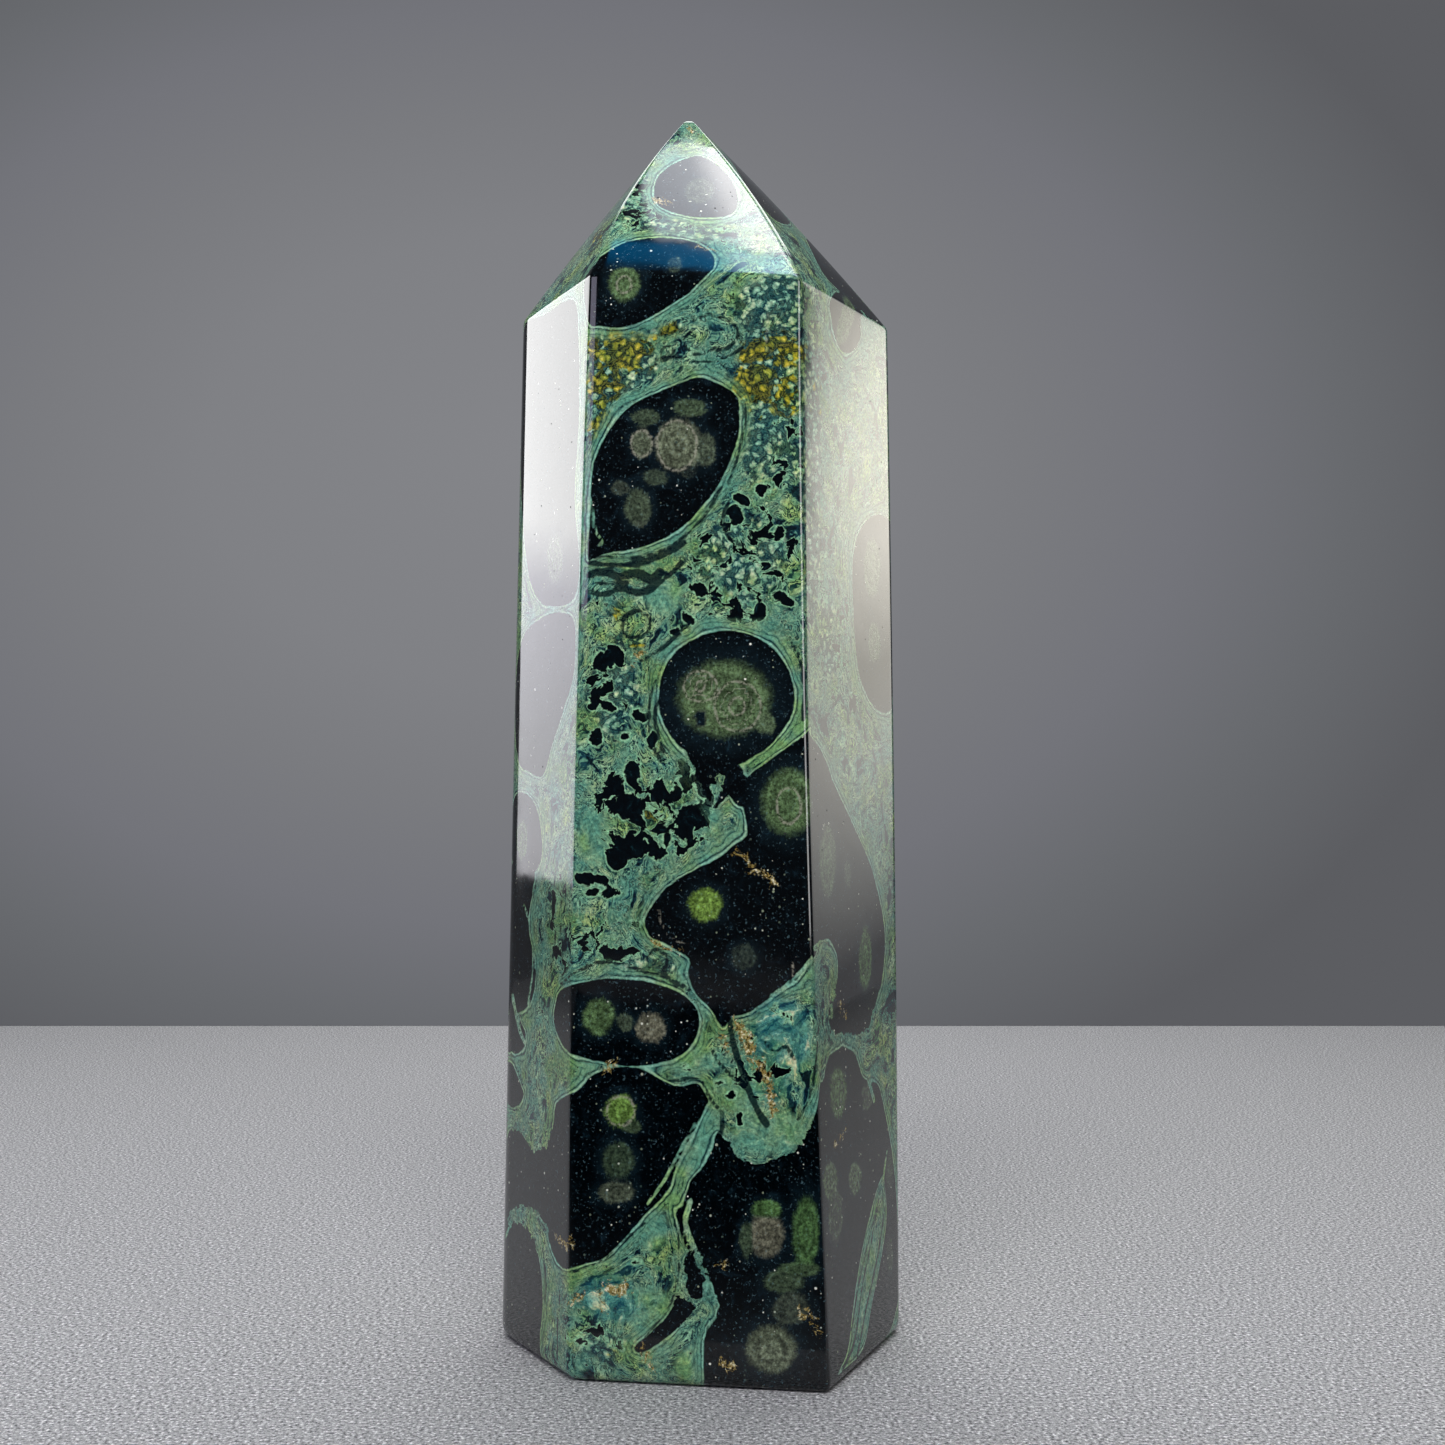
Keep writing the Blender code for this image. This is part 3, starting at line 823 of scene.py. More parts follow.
def stone_piece(name, material):
    """The closed stone: the skin's grid, joined into rings, with fans at the foot and the tip."""
    skin, apex = stone_skin()
    rows, columns, _ = skin.shape
    foot_middle = np.array((0.0, 0.0, 0.0))
    verts = np.concatenate([skin.reshape(-1, 3), [foot_middle, apex]]) * MM
    row, column = np.meshgrid(np.arange(rows - 1), np.arange(columns), indexing="ij")
    here, beside = row * columns + column, row * columns + (column + 1) % columns
    quads = np.stack([here, beside, beside + columns, here + columns], -1).reshape(-1, 4)
    first = np.arange(columns)
    last = first + (rows - 1) * columns
    foot, tip = np.full(columns, len(verts) - 2), np.full(columns, len(verts) - 1)
    fans = np.concatenate(
        [
            np.stack([np.roll(first, -1), first, foot], 1),
            np.stack([last, np.roll(last, -1), tip], 1),
        ]
    )
    mesh = bpy.data.meshes.new(name)
    mesh.from_pydata(verts.tolist(), [], quads.tolist() + fans.tolist())
    for key, field in markings(skin).items():
        kind, prop = ("FLOAT", "value") if field.ndim == 2 else ("FLOAT_VECTOR", "vector")
        flat = field.reshape(rows * columns, -1).astype(np.float32)
        flat = np.concatenate([flat, flat[:1], flat[-1:]])
        mesh.attributes.new(key, kind, "POINT").data.foreach_set(prop, flat.ravel())
    mesh.shade_smooth()
    mesh.materials.append(material)
    piece = bpy.data.objects.new(name, mesh)
    bpy.context.scene.collection.objects.link(piece)
    return piece


def colour(code):
    """An sRGB hex colour as linear RGBA: c / 12.92 up to 0.04045, and beyond that
    ((c + 0.055) / 1.055)^2.4.
    """
    c = np.array([int(code[i : i + 2], 16) for i in (1, 3, 5)]) / 255
    return (*np.where(c <= 0.04045, c / 12.92, ((c + 0.055) / 1.055) ** 2.4), 1)


# The Mix node's sockets for colour, all of a node's outputs, and a spread over which nothing fades
FACTOR, BELOW, ABOVE, MIXED = 0, 6, 7, 2
LAID = {"out": MIXED, "data_type": "RGBA"}
EVERY = slice(None)
NO_FADE = 1e6


def node(tree, kind, inputs=None, out=0, stops=(), **settings):
    """Adds a node with its settings, its input values or links, and a ramp's stops as (place,
    colour), and returns one of its outputs, or all of them.
    """
    made = tree.nodes.new("ShaderNode" + kind)
    for key, value in settings.items():
        setattr(made, key, value)
    for key, value in (inputs or {}).items():
        if isinstance(value, bpy.types.NodeSocket):
            tree.links.new(value, made.inputs[key])
        else:
            made.inputs[key].default_value = value
    for i, (place, code) in enumerate(stops):
        points = made.color_ramp.elements
        point = points[i] if i < 2 else points.new(place)
        point.position, point.color = place, colour(code)
    return made.outputs[out] if made.outputs else None


def blank_material(name):
    """An empty material, the function that adds its nodes, and the place on it in millimetres."""
    material = bpy.data.materials.new(name)
    material.use_nodes = True
    material.node_tree.nodes.clear()
    add = partial(node, material.node_tree)
    at = add("TexCoord", out="Object")
    return material, add, add("VectorMath", {0: at, "Scale": 1 / MM}, operation="SCALE")


# Real sizes of the stone's pattern in millimetres: the slow and the fine wandering of its borders,
# the streaks of the ground, its mottling, its granules, its grit, the broken shapes, the smoke in
# the dark, the dust, and the waves left in the polish
SLOW_WANDER, FINE_WANDER = 5, 1.7
STREAK, MOTTLE, GRANULE, GRIT, BROKEN_SHAPE = (3, 3, 4), 0.9, 1.15, 0.45, 3.2
SMOKE, DUST, POLISH_WAVE = 1.6, 0.85, 7

# How closely an eye is feathered
FEATHERS = 9

# How far the noises move the places that they are read at, in millimetres
SLOW_REACH, FINE_REACH, GRANULE_REACH = (6, 6, 6), (2.6, 2.6, 2.6), (1.8, 1.8, 1.8)
HALF = (0.5, 0.5, 0.5)

# How far the flow round the dark is felt, and how strongly it draws the streaks along the border
FLOW_FADE, FLOW_PULL = 3.0, (3.6, 2.8, 3.0)

# Refractive index of jasper
JASPER_IOR = 1.54


def polished_kambaba_jasper():
    """Kambaba jasper, sawn, ground on six faces and polished with fine grit.

    Black-blue orbs lie in a celadon to deep green ground that flows round them in thin pale and
    dark layers. The orbs hold feathery grey-green eyes and white specks. The polish is glassy.
    """
    material, add, place = blank_material("polished_kambaba_jasper")
    dark_field, fragment_field, line_field, ragged, broken, calm_field, ring_field, vein_field = (
        add("Attribute", attribute_name=name, out="Fac")
        for name in ("dark", "fragment", "line", "ragged", "broken", "calm", "ring", "vein")
    )
    eye_field, spoke_field, ground_field = (
        add("Attribute", attribute_name=name, out="Vector") for name in ("eye", "spoke", "ground")
    )
    eye_radius, eye_tone, eye_strength = add("SeparateXYZ", {0: eye_field}, out=EVERY)
    _, _, eye_fringe = add("SeparateXYZ", {0: spoke_field}, out=EVERY)
    ochre_field, teal_field, grain_field = add("SeparateXYZ", {0: ground_field}, out=EVERY)

    # Slow and fine wandering of every border, in millimetres
    slow = add("TexNoise", {"Vector": place, "Scale": 1 / SLOW_WANDER, "Detail": 2}, out="Color")
    slow_shift = add("VectorMath", {0: slow, 1: HALF}, operation="SUBTRACT")
    swirled = add("VectorMath", {0: slow_shift, 1: SLOW_REACH, 2: place}, operation="MULTIPLY_ADD")
    fine = add(
        "TexNoise",
        {"Vector": swirled, "Scale": 1 / FINE_WANDER, "Detail": 3, "Roughness": 0.6},
        out="Color",
    )
    fine_shift = add("VectorMath", {0: fine, 1: HALF}, operation="SUBTRACT")
    warped = add(
        "VectorMath",
        {0: fine_shift, 1: FINE_REACH, 2: swirled},
        operation="MULTIPLY_ADD",
    )
    wobble, other_wobble, _ = add("SeparateXYZ", {0: fine_shift}, out=EVERY)
    thickness, patchy, hue = add("SeparateXYZ", {0: slow}, out=EVERY)
    reach = add("MapRange", {"Value": ragged, "To Min": 0.45, "To Max": 3.4})
    dark = add("Math", {0: wobble, 1: reach, 2: dark_field}, operation="MULTIPLY_ADD")

    # The green ground flows round the dark: the falling distance to the dark is stretched into the
    # noise's place, so that its streaks run along the borders
    away = add("Math", {0: dark, 1: 0.0}, operation="MAXIMUM")
    fall = add("Math", {0: away, 1: -1 / FLOW_FADE}, operation="MULTIPLY")
    fall = add("Math", {0: fall}, operation="EXPONENT")
    flow = add("VectorMath", {0: FLOW_PULL, "Scale": fall}, operation="SCALE")
    flow = add(
        "VectorMath",
        {0: warped, 1: tuple(1 / size for size in STREAK), 2: flow},
        operation="MULTIPLY_ADD",
    )
    marbling = add(
        "TexNoise",
        {"Vector": flow, "Scale": 1, "Detail": 4, "Roughness": 0.55, "Distortion": 0.6},
    )
    green = add(
        "ValToRGB",
        {0: marbling},
        stops=[
            (0.0, "#050f14"), (1.0, "#8fb088"), (0.38, "#08191f"), (0.425, "#153a3e"), (
                0.445,
                "#44765e",
            ),
            (0.475, "#638f6e"), (0.489, "#4b7a5f"), (0.497, "#081d22"), (0.517, "#0a262b"), (
                0.528,
                "#6a986f",
            ),
            (0.555, "#87aa80"), (0.575, "#4a785b"), (0.584, "#082024"), (0.605, "#0e2e32"), (
                0.616,
                "#658f68",
            ),
            (0.650, "#88a576"), (0.675, "#2c594b"), (0.72, "#6f9370"),
        ],
    )
    speckle = add(
        "TexNoise",
        {"Vector": warped, "Scale": 1 / MOTTLE, "Detail": 4, "Roughness": 0.65},
    )
    calm = add(
        "ValToRGB",
        {0: speckle},
        stops=[
            (0.28, "#1c4738"), (0.74, "#94b98c"), (0.40, "#41705a"), (0.50, "#558667"),
            (0.60, "#679671"),
        ],
    )
    calm_share = add(
        "MapRange",
        {"Value": calm_field, "From Min": 0.25, "From Max": 0.6, "To Max": 0.85},
    )
    green = add("Mix", {FACTOR: calm_share, BELOW: green, ABOVE: calm}, **LAID)

    # Granules about 1 mm wide in a dark teal paste, with ochre ones among them, and hollow ones
    shaken = add(
        "VectorMath",
        {0: fine_shift, 1: GRANULE_REACH, 2: place},
        operation="MULTIPLY_ADD",
    )
    cells, cell_colour, *_ = add(
        "TexVoronoi",
        {"Vector": shaken, "Scale": 1 / GRANULE},
        out=EVERY,
        feature="F1",
    )
    bite = add(
        "MapRange",
        {"Value": speckle, "From Min": 0.3, "From Max": 0.7, "To Min": -0.22, "To Max": 0.22},
    )
    cells = add("Math", {0: cells, 1: bite}, operation="ADD")
    chance = add("SeparateXYZ", {0: cell_colour})
    grains = add(
        "ValToRGB",
        {0: cells},
        stops=[
            (0.0, "#a9bd96"), (1.0, "#0d272d"), (0.20, "#8bab86"), (0.34, "#6a9472"), (
                0.44,
                "#3c6a57",
            ),
            (0.50, "#0d292f"), (0.64, "#081b22"), (0.76, "#2a564c"), (0.86, "#0c252b"),
        ],
    )
    yellow = add(
        "ValToRGB",
        {0: cells},
        stops=[
            (0.0, "#b4b454"), (1.0, "#14190d"), (0.18, "#92932f"), (0.34, "#70761f"), (
                0.47,
                "#4a5822",
            ),
            (0.54, "#1a2412"), (0.66, "#121a10"), (0.76, "#585e22"), (0.88, "#182012"),
        ],
    )
    is_ochre = add("Math", {0: ochre_field, 1: chance}, operation="SUBTRACT")
    is_ochre = add("MapRange", {"Value": is_ochre, "From Min": 0.05, "From Max": 0.12})
    grains = add("Mix", {FACTOR: is_ochre, BELOW: grains, ABOVE: yellow}, **LAID)
    grain_share = add("Math", {0: grain_field, 1: patchy}, operation="ADD")
    grain_share = add(
        "MapRange",
        {"Value": grain_share, "From Min": 0.86, "From Max": 1.0, "To Max": 0.85},
    )
    ochre_share = add("Math", {0: wobble, 1: 1.2, 2: ochre_field}, operation="MULTIPLY_ADD")
    ochre_share = add(
        "MapRange",
        {"Value": ochre_share, "From Min": 0.3, "From Max": 0.5, "To Max": 0.95},
    )
    grain_share = add("Math", {0: grain_share, 1: ochre_share}, operation="MAXIMUM")
    green = add("Mix", {FACTOR: grain_share, BELOW: green, ABOVE: grains}, **LAID)
    hollow = add(
        "ValToRGB",
        {0: cells},
        stops=[
            (0.0, "#9fbf96"), (1.0, "#55866a"), (0.10, "#4c7d66"), (0.24, "#3c6c5a"), (
                0.30,
                "#08191f",
            ),
            (0.36, "#0a2027"), (0.42, "#76a07b"), (0.52, "#4b7b61"), (0.70, "#2b5a4c"), (
                0.82,
                "#6b9771",
            ),
        ],
    )
    hollow_share = add(
        "MapRange",
        {"Value": thickness, "From Min": 0.52, "From Max": 0.58, "To Max": 0.8},
    )
    hollow_share = add(
        "Math",
        {0: hollow_share, 1: grain_share},
        operation="SUBTRACT",
        use_clamp=True,
    )
    hollow_share = add(
        "Math",
        {0: hollow_share, 1: calm_share},
        operation="SUBTRACT",
        use_clamp=True,
    )
    green = add("Mix", {FACTOR: hollow_share, BELOW: green, ABOVE: hollow}, **LAID)
    teal = add(
        "ValToRGB",
        {0: marbling},
        stops=[
            (0.2, "#06222b"), (0.8, "#c9c7a0"), (0.40, "#123f47"), (0.45, "#2a6659"), (
                0.49,
                "#184a4f",
            ),
            (0.52, "#4d8a72"), (0.56, "#2d6660"), (0.60, "#74a485"), (0.67, "#b3bd93"),
        ],
    )
    teal_share = add(
        "MapRange",
        {"Value": teal_field, "From Min": 0.3, "From Max": 0.7, "To Max": 0.85},
    )
    green = add("Mix", {FACTOR: teal_share, BELOW: green, ABOVE: teal}, **LAID)

    # Grit of 0.3 mm, light and dark, and a slow drift from blue green to olive
    grit = add("TexNoise", {"Vector": place, "Scale": 1 / GRIT, "Detail": 3, "Roughness": 0.65})
    grit_tone = add(
        "MapRange",
        {"Value": grit, "From Min": 0.34, "From Max": 0.66, "To Min": 1.15, "To Max": 2.55},
    )
    green = add("VectorMath", {0: green, "Scale": grit_tone}, operation="SCALE")
    drift = add(
        "ValToRGB",
        {0: hue},
        stops=[(0.38, "#dde3f6"), (0.64, "#ffeac4"), (0.5, "#fbe6ec")],
    )
    green = add("Mix", {FACTOR: 1.0, BELOW: green, ABOVE: drift}, blend_type="MULTIPLY", **LAID)

    # Dark fragments, and the shapes 2 to 4 mm wide that noise cuts out of broken ground
    cuts = add(
        "TexNoise",
        {"Vector": warped, "Scale": 1 / BROKEN_SHAPE, "Detail": 3, "Roughness": 0.5},
    )
    level = add("MapRange", {"Value": broken, "To Min": 0.22, "To Max": 0.505})
    cuts = add("Math", {0: cuts, 1: level}, operation="SUBTRACT")
    cuts = add("Math", {0: cuts, 1: 9}, operation="MULTIPLY")
    bits = add("Math", {0: wobble, 1: 2.0, 2: fragment_field}, operation="MULTIPLY_ADD")
    bits = add("Math", {0: bits, 1: cuts, 2: 0.2}, operation="SMOOTH_MIN")
    paste = add(
        "ValToRGB",
        {0: speckle},
        stops=[
            (0.3, "#010306"), (0.80, "#264f49"), (0.55, "#02090e"), (0.63, "#05141a"),
            (0.70, "#0f2b30"),
        ],
    )
    skin = add("ValToRGB", {0: bits}, stops=[(0.1, "#7fa783"), (0.5, "#24503f"), (0.3, "#4f7f60")])
    skin_share = add(
        "MapRange",
        {"Value": bits, "From Min": 0.22, "From Max": 0.42, "To Min": 0.7, "To Max": 0.0},
    )
    skin = add("VectorMath", {0: skin, "Scale": grit_tone}, operation="SCALE")
    green = add("Mix", {FACTOR: skin_share, BELOW: green, ABOVE: skin}, **LAID)
    bit_share = add(
        "MapRange",
        {"Value": bits, "From Min": -0.05, "From Max": 0.07, "To Min": 1.0, "To Max": 0.0},
    )
    green = add("Mix", {FACTOR: bit_share, BELOW: green, ABOVE: paste}, **LAID)

    # The layers that follow the dark border of every orb: a pale skin, a dark line, a celadon band,
    # and fainter ones, thicker in some places than in others, and torn where the border is ragged
    stretch = add(
        "MapRange",
        {"Value": thickness, "From Min": 0.3, "From Max": 0.7, "To Min": 0.50, "To Max": 0.18},
    )
    layer = add("Math", {0: dark, 1: stretch}, operation="MULTIPLY")
    layers = add(
        "ValToRGB",
        {0: layer},
        stops=[
            (0.0, "#5d8e72"), (1.0, "#44765a"), (0.06, "#83ab8a"), (0.11, "#477a61"), (
                0.135,
                "#071b20",
            ),
            (0.175, "#0b262b"), (0.205, "#4c7d63"), (0.28, "#61916f"), (0.36, "#4f8161"), (
                0.385,
                "#0c282d",
            ),
            (0.415, "#3f7058"), (0.48, "#668f6a"), (0.55, "#4c7b5c"), (0.575, "#0f2f33"), (
                0.61,
                "#577f5c",
            ),
            (0.68, "#35614c"),
        ],
    )
    fade = add(
        "MapRange",
        {"Value": patchy, "From Min": 0.35, "From Max": 0.65, "To Min": 0.35, "To Max": 0.9},
    )
    layer_share = add(
        "MapRange",
        {"Value": layer, "From Min": 0.28, "From Max": 0.75, "To Min": 0.95, "To Max": 0.0},
    )
    layer_share = add("Math", {0: layer_share, 1: fade}, operation="MINIMUM")
    near = add(
        "MapRange",
        {"Value": layer, "From Min": 0.11, "From Max": 0.26, "To Min": 0.95, "To Max": 0.0},
    )
    near_fade = add(
        "MapRange",
        {"Value": patchy, "From Min": 0.42, "From Max": 0.52, "To Min": 0.25, "To Max": 1.0},
    )
    near = add("Math", {0: near, 1: near_fade}, operation="MULTIPLY")
    layer_share = add("Math", {0: layer_share, 1: near}, operation="MAXIMUM")
    whole = add(
        "MapRange",
        {"Value": ragged, "From Min": 0.1, "From Max": 0.9, "To Min": 1.0, "To Max": 0.12},
    )
    layer_share = add("Math", {0: layer_share, 1: whole}, operation="MULTIPLY")
    layers = add("VectorMath", {0: layers, "Scale": grit_tone}, operation="SCALE")
    layers = add("Mix", {FACTOR: 1.0, BELOW: layers, ABOVE: drift}, blend_type="MULTIPLY", **LAID)
    green = add("Mix", {FACTOR: layer_share, BELOW: green, ABOVE: layers}, **LAID)
    line = add("Math", {0: wobble, 1: 0.7, 2: line_field}, operation="MULTIPLY_ADD")
    line_share = add(
        "MapRange",
        {"Value": line, "From Min": -0.06, "From Max": 0.12, "To Min": 0.92, "To Max": 0.0},
    )
    green = add("Mix", {FACTOR: line_share, BELOW: green, ABOVE: colour("#06171d")}, **LAID)

    # Inside the dark: nearly black blue with navy smoke round the eyes
    smoke = add("TexNoise", {"Vector": warped, "Scale": 1 / SMOKE, "Detail": 5, "Roughness": 0.7})
    black = add(
        "ValToRGB",
        {0: smoke},
        stops=[
            (0.0, "#010203"), (1.0, "#35525c"), (0.49, "#010407"), (0.58, "#040b10"),
            (0.68, "#0f1f27"),
        ],
    )
    near_eye = add(
        "MapRange",
        {"Value": eye_radius, "From Min": 0.9, "From Max": 1.6, "To Min": 0.45, "To Max": 0.0},
    )
    near_eye = add("Math", {0: near_eye, 1: smoke}, operation="MULTIPLY")
    black = add("Mix", {FACTOR: near_eye, BELOW: black, ABOVE: colour("#203842")}, **LAID)

    # Eyes: feathered at the rim, mottled inside, paler or yellower by their tone
    spokes = add("VectorMath", {0: spoke_field, "Scale": FEATHERS}, operation="SCALE")
    spokes = add("VectorMath", {0: place, 1: (0.9, 0.9, 0.9), 2: spokes}, operation="MULTIPLY_ADD")
    feather = add("TexNoise", {"Vector": spokes, "Scale": 1.0, "Detail": 5, "Roughness": 0.75})
    feather_shift = add(
        "MapRange",
        {"Value": feather, "From Min": 0.3, "From Max": 0.7, "To Min": -0.24, "To Max": 0.24},
    )
    patch_shift = add("Math", {0: other_wobble, 1: 0.9, 2: feather_shift}, operation="MULTIPLY_ADD")
    radius = add("Math", {0: patch_shift, 1: eye_fringe, 2: eye_radius}, operation="MULTIPLY_ADD")
    tone_colour = add(
        "ValToRGB",
        {0: eye_tone},
        stops=[
            (0.0, "#7d7866"), (1.0, "#789a45"), (0.35, "#626f57"), (0.65, "#58734a"),
            (0.85, "#557b44"),
        ],
    )
    mottle = add(
        "MapRange",
        {"Value": grit, "From Min": 0.35, "From Max": 0.65, "To Min": 0.55, "To Max": 2.5},
    )
    depth = add(
        "ValToRGB",
        {0: radius},
        stops=[
            (0.0, "#ffffff"), (1.0, "#a0a0a0"), (0.16, "#b5b5b5"), (0.34, "#f4f4f4"),
            (0.52, "#a8a8a8"), (0.70, "#ececec"),
        ],
    )
    blotch = add(
        "MapRange",
        {"Value": smoke, "From Min": 0.4, "From Max": 0.62, "To Min": 0.5, "To Max": 1.15},
    )
    mottle = add("Math", {0: mottle, 1: blotch}, operation="MULTIPLY")
    mottle = add("Math", {0: mottle, 1: depth}, operation="MULTIPLY")
    eye_colour = add("VectorMath", {0: tone_colour, "Scale": mottle}, operation="SCALE")
    eye_share = add(
        "MapRange",
        {"Value": radius, "From Min": 0.80, "From Max": 1.04, "To Min": 1.0, "To Max": 0.0},
    )
    eye_share = add("Math", {0: eye_share, 1: eye_strength}, operation="MULTIPLY")
    black = add("Mix", {FACTOR: eye_share, BELOW: black, ABOVE: eye_colour}, **LAID)

    # White and cream specks, 0.1 to 0.4 mm, in clusters in the dark, and finer dust between them
    dust, dust_colour, *_ = add(
        "TexVoronoi",
        {"Vector": place, "Scale": 1 / DUST},
        out=EVERY,
        feature="F1",
    )
    luck, whiteness, pit_luck = add("SeparateXYZ", {0: dust_colour}, out=EVERY)
    luck = add("Math", {0: patchy, 1: 1.3, 2: luck}, operation="MULTIPLY_ADD")
    size = add(
        "MapRange",
        {"Value": luck, "From Min": 1.22, "From Max": 1.75, "To Min": 0.0, "To Max": 0.27},
    )
    speck = add("Math", {0: size, 1: dust}, operation="SUBTRACT")
    speck_share = add("MapRange", {"Value": speck, "From Min": 0.0, "From Max": 0.07})
    speck_colour = add(
        "ValToRGB",
        {0: whiteness},
        stops=[(0.1, "#33443f"), (0.95, "#f2f2e4"), (0.5, "#8f9a7e")],
    )
    black = add("Mix", {FACTOR: speck_share, BELOW: black, ABOVE: speck_colour}, **LAID)
    mist = add("MapRange", {"Value": grit, "From Min": 0.61, "From Max": 0.72, "To Max": 0.6})
    black = add("Mix", {FACTOR: mist, BELOW: black, ABOVE: colour("#5c7c84")}, **LAID)

    in_dark = add(
        "MapRange",
        {"Value": dark, "From Min": -0.08, "From Max": 0.06, "To Min": 1.0, "To Max": 0.0},
    )
    stone = add("Mix", {FACTOR: in_dark, BELOW: green, ABOVE: black}, **LAID)

    # Pale rings and scratches, made of grains, and gold and cream veins, broken up by noise
    ring = add("Math", {0: wobble, 1: 0.8, 2: ring_field}, operation="MULTIPLY_ADD")
    ring = add("Math", {0: ring}, operation="ABSOLUTE")
    ring_share = add(
        "MapRange",
        {"Value": ring, "From Min": 0.03, "From Max": 0.30, "To Min": 0.75, "To Max": 0.0},
    )
    ring_grain = add("MapRange", {"Value": grit, "From Min": 0.40, "From Max": 0.55})
    ring_share = add("Math", {0: ring_share, 1: ring_grain}, operation="MULTIPLY")
    stone = add("Mix", {FACTOR: ring_share, BELOW: stone, ABOVE: colour("#a3a08f")}, **LAID)
    torn = add(
        "MapRange",
        {"Value": speckle, "From Min": 0.3, "From Max": 0.7, "To Min": -1.1, "To Max": 1.1},
    )
    vein = add("Math", {0: torn, 1: vein_field}, operation="ADD")
    vein_share = add(
        "MapRange",
        {"Value": vein, "From Min": -0.35, "From Max": 0.0, "To Min": 0.92, "To Max": 0.0},
    )
    gold = add(
        "ValToRGB",
        {0: grit},
        stops=[
            (0.34, "#14110a"), (0.66, "#f4eed4"), (0.43, "#63501f"), (0.49, "#b89f58"), (
                0.53,
                "#7a672c",
            ),
            (0.58, "#d8cc98"),
        ],
    )
    stone = add("Mix", {FACTOR: vein_share, BELOW: stone, ABOVE: gold}, **LAID)

    # The polish: a little duller where the lap left it, wavy by a hundredth of a millimetre, with
    # rare dull pits,
    # which are also painted near black: painted shade in hollows that the surface doesn't have
    roughness = add(
        "MapRange",
        {"Value": thickness, "From Min": 0.3, "From Max": 0.7, "To Min": 0.04, "To Max": 0.09},
    )
    pit_size = add(
        "MapRange",
        {"Value": pit_luck, "From Min": 0.93, "From Max": 1.0, "To Min": 0.0, "To Max": 0.2},
    )
    dull_pits_with_painted_shade = add("Math", {0: pit_size, 1: dust}, operation="GREATER_THAN")
    roughness = add("Math", {0: dull_pits_with_painted_shade, 1: 0.7, 2: roughness}, operation="MULTIPLY_ADD")
    # The pits' near black colour is painted shade of their hollows.
    stone = add("Mix", {FACTOR: dull_pits_with_painted_shade, BELOW: stone, ABOVE: colour("#0a1012")}, **LAID)
    grind = add("TexNoise", {"Vector": place, "Scale": 1 / POLISH_WAVE, "Detail": 2})
    bump = add("Bump", {"Height": grind, "Distance": 0.03 * MM, "Strength": 0.6})
    shader = add(
        "BsdfPrincipled",
        {"Base Color": stone, "Roughness": roughness, "IOR": JASPER_IOR, "Normal": bump},
    )
    add("OutputMaterial", {"Surface": shader})
    return material


# The grain of the table, in millimetres
TABLE_GRAIN = 0.6


def pale_grey_table():
    """A matt pale grey table top of fine mineral grain, each grain lighter or darker."""
    material, add, place = blank_material("pale_grey_table")
    grain = add(
        "TexNoise",
        {"Vector": place, "Scale": 1 / TABLE_GRAIN, "Detail": 3, "Roughness": 0.75},
    )
    tone = add(
        "ValToRGB",
        {0: grain},
        stops=[(0.36, "#3a3b3e"), (0.64, "#ffffff"), (0.46, "#99999b"), (0.56, "#bababc")],
    )
    bump = add("Bump", {"Height": grain, "Distance": 0.15 * MM, "Strength": 0.6})
    shader = add("BsdfPrincipled", {"Base Color": tone, "Roughness": 0.7, "Normal": bump})
    add("OutputMaterial", {"Surface": shader})
    return material


def glowing(name, centre, spread, stops, strength=1.0):
    """A surface that only gives light. Its tone follows the length of (place - centre) / spread, in
    millimetres, so that it fades from a bright middle.
    """
    material, add, place = blank_material(name)
    place = add("VectorMath", {0: place, 1: centre}, operation="SUBTRACT")
    place = add("VectorMath", {0: place, 1: spread}, operation="DIVIDE")
    share = add("VectorMath", {0: place}, out="Value", operation="LENGTH")
    tone = add("ValToRGB", {0: share}, stops=stops)
    add("OutputMaterial", {"Surface": add("Emission", {"Color": tone, "Strength": strength})})
    return material


def plainly_glowing(name, code, strength):
    """A surface that only gives light, of one colour all over."""
    material, add, _ = blank_material(name)
    light = add("Emission", {"Color": colour(code), "Strength": strength})
    add("OutputMaterial", {"Surface": light})
    return material


def sheet(name, corners, material, shown=True, lights=True, mirrored=True):
    """A flat four-cornered sheet of the studio, through its corners in millimetres. The camera sees
    it if it is shown, it gives light and shadow if it lights, and the polish shows it if it is
    mirrored.
    """
    mesh = bpy.data.meshes.new(name)
    mesh.from_pydata((np.array(corners, float) * MM).tolist(), [], [(0, 1, 2, 3)])
    mesh.materials.append(material)
    piece = bpy.data.objects.new(name, mesh)
    piece.visible_camera = shown
    piece.visible_diffuse = piece.visible_shadow = lights
    piece.visible_glossy = mirrored
    bpy.context.scene.collection.objects.link(piece)
    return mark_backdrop(piece)


def level_sheet(name, x, y, z, material, **how):
    """A sheet that lies level at the height z, between two values of x and two of y."""
    corners = [(x[0], y[0], z), (x[1], y[0], z), (x[1], y[1], z), (x[0], y[1], z)]
    return sheet(name, corners, material, **how)


# Millimetres: how far the upright softboxes stand from the stone, how high the level ones hang,
# where the table ends and the backdrop stands behind it, and how high the sheet of painted
# reflection in front lies
SOFTBOX_DISTANCE = 600
OVERHEAD = 700
TABLE_END, BACKDROP = 385, 900
REFLECTION_SHEET_HEIGHT = 0.4


def round_stone(turn):
    """A place (x, y) round the stone, turned from the camera's side, in degrees, to the right."""
    angle = np.radians(turn)
    return SOFTBOX_DISTANCE * np.sin(angle), -SOFTBOX_DISTANCE * np.cos(angle)


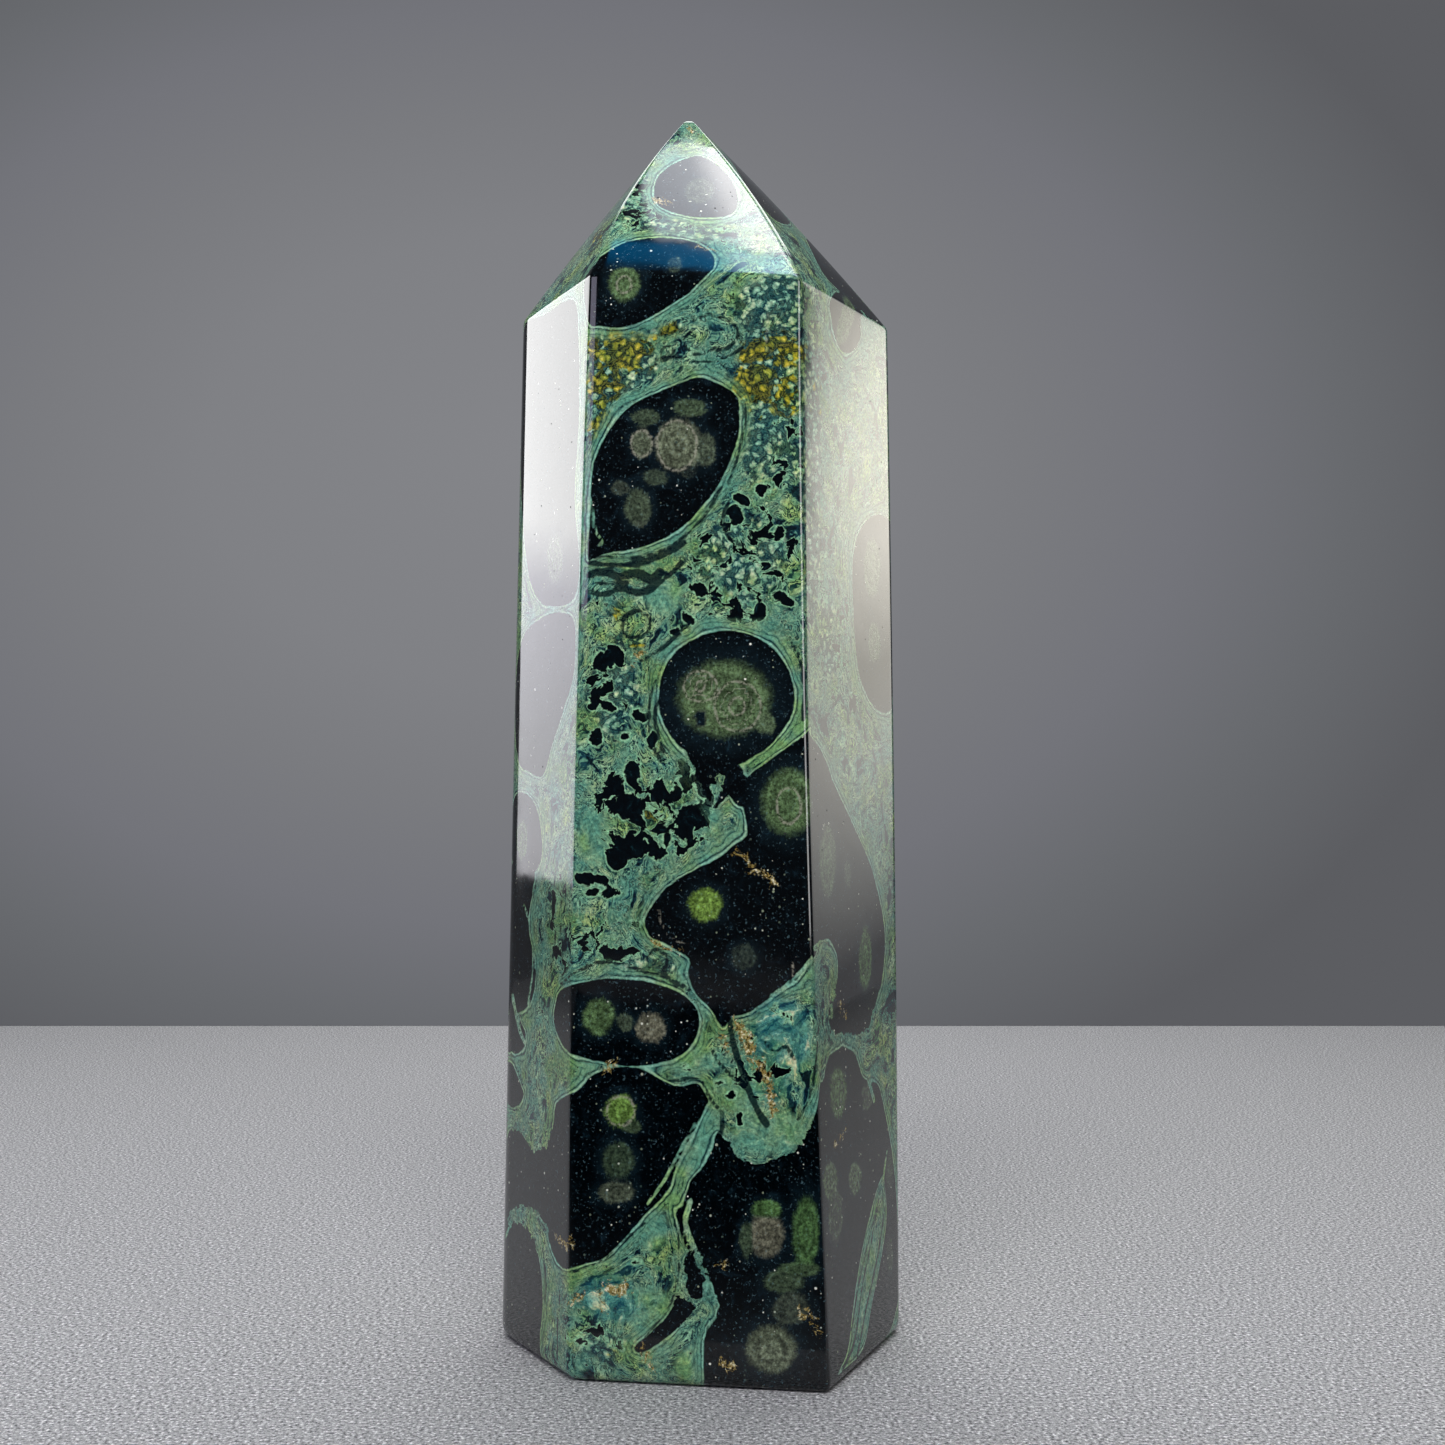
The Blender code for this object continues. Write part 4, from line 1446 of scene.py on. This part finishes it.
def upright_panel(name, turns, low, high, material, **how):
    """A softbox that stands upright round the stone, between two turns and two heights."""
    a, b = (round_stone(turn) for turn in turns)
    return sheet(name, [(*a, low), (*b, low), (*b, high), (*a, high)], material, False, **how)


def studio():
    """The pale table, the grey backdrop with a painted pool of light, the softboxes that the
    polished faces mirror, and a glowing sheet in front that is a painted reflection.
    """
    scene = bpy.context.scene
    scene.view_settings.view_transform = "Standard"
    world = bpy.data.worlds.new("dim_room")
    world.use_nodes = True
    world.node_tree.nodes["Background"].inputs["Color"].default_value = colour("#34363a")
    scene.world = world
    level_sheet("table_top", (-1500, 1500), (-1500, TABLE_END), 0, pale_grey_table())

    # The backdrop paper glows brightest a little left of the stone and high up, and darker outward:
    # a painted pool of light on it.
    grey = [
        (0.0, "#848589"), (1.0, "#5c5d61"), (0.33, "#808185"), (0.5, "#7a7b7f"), (0.67, "#73747a"),
        (0.83, "#686a6e"),
    ]
    backdrop_painted_light = glowing("grey_backdrop_painted_light", (-130, BACKDROP, 330), (690, NO_FADE, 486), grey)
    corners = [(-2500, -600), (2500, -600), (2500, 1700), (-2500, 1700)]
    sheet("backdrop", [(x, BACKDROP, z) for x, z in corners], backdrop_painted_light)

    # Softboxes mirrored by the left face, the right face, and the front facet of the point
    cool = [
        (0.0, "#ffffff"), (1.0, "#abaaae"), (0.47, "#ffffff"), (0.57, "#d2d1d8"), (0.80, "#b8b8bc"),
    ]
    left = glowing("left_diffuser", (0, 0, 400), (NO_FADE, NO_FADE, 345), cool, 6.6)
    upright_panel("left_softbox", (-125.5, -100), 58, 520, left, lights=False)
    warm = [
        (0.0, "#fff8ea"), (1.0, "#48484a"), (0.18, "#fbf6ea"), (0.42, "#b9b6ad"), (0.6, "#b2b0aa"),
        (0.8, "#858583"),
    ]
    right = glowing("right_diffuser", (*round_stone(122), 268), (210, 210, 250), warm, 5.8)
    upright_panel("right_softbox", (114.8, 132), 2, 520, right, lights=False)
    above = [(0.0, "#ffffff"), (1.0, "#9c9fa6"), (0.33, "#f2f2f4"), (0.55, "#b0b3b9")]
    overhead = glowing("overhead_diffuser", (20, 0, OVERHEAD), (80, NO_FADE, NO_FADE), above, 11)
    level_sheet("overhead_softbox", (-61, 220), (-53, 63), OVERHEAD, overhead, shown=False)
    blue = [(0.0, "#d0eeff"), (1.0, "#0a5a88"), (0.42, "#c0e0f8"), (0.52, "#1c6c9c")]
    strip = glowing("blue_gel", (20, -70, OVERHEAD), (92, NO_FADE, NO_FADE), blue, 8)
    level_sheet("blue_strip", (-95, 60), (-84, -56), OVERHEAD, strip, shown=False)

    # Softboxes that light the front and the table without being mirrored by the front, and others
    # that draw thin lines on the edges
    key = plainly_glowing("front_diffuser", "#ffffff", 10.6)
    upright_panel("front_softbox", (-30, 26), 480, 810, key, mirrored=False)
    edge = plainly_glowing("edge_diffuser", "#ffffff", 6.4)
    upright_panel("edge_softbox", (26, 64), 60, 520, edge, lights=False)
    back = plainly_glowing("back_diffuser", "#ffffff", 3.6)
    corners = [(-250, 150, 640), (250, 150, 640), (250, 520, 560), (-250, 520, 560)]
    sheet("back_softbox", corners, back, shown=False)
    dim = plainly_glowing("lavender_diffuser", "#b9b6cc", 5)
    upright_panel("front_left_softbox", (-54, -26), 195, 450, dim)

    # A glowing sheet on the table in front, out of the picture, graded from grey to black and seen
    # only in
    # the polish: a painted reflection of the table in front, which keeps the dark of the stone deep
    reflection_greys = [(0.0, "#6c7074"), (1.0, "#050506"), (0.18, "#4f5356"), (0.5, "#292c2f")]
    reflection_glow = glowing("painted_reflection_card", (0, -52, 0), (NO_FADE, 120, NO_FADE), reflection_greys)
    how = {"shown": False, "lights": False}
    level_sheet("front_painted_reflection", (-500, 500), (-800, -52), REFLECTION_SHEET_HEIGHT, reflection_glow, **how)


def camera():
    """The camera of the photograph, level from side to side and looking slightly up."""
    data = bpy.data.cameras.new("camera")
    data.sensor_width = SENSOR_WIDTH
    data.lens = SENSOR_WIDTH * FOCAL_PIXELS / PHOTO_SIZE
    data.clip_start, data.clip_end = 0.01, 20
    eye = bpy.data.objects.new("camera", data)
    eye.location = CAMERA_PLACE * MM
    eye.rotation_euler = (np.pi / 2 + CAMERA_PITCH, 0, 0)
    bpy.context.scene.collection.objects.link(eye)
    bpy.context.scene.camera = eye


stone = stone_piece("polished_stone", polished_kambaba_jasper())
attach(stone, "root")
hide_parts("obelisk")
studio()
camera()
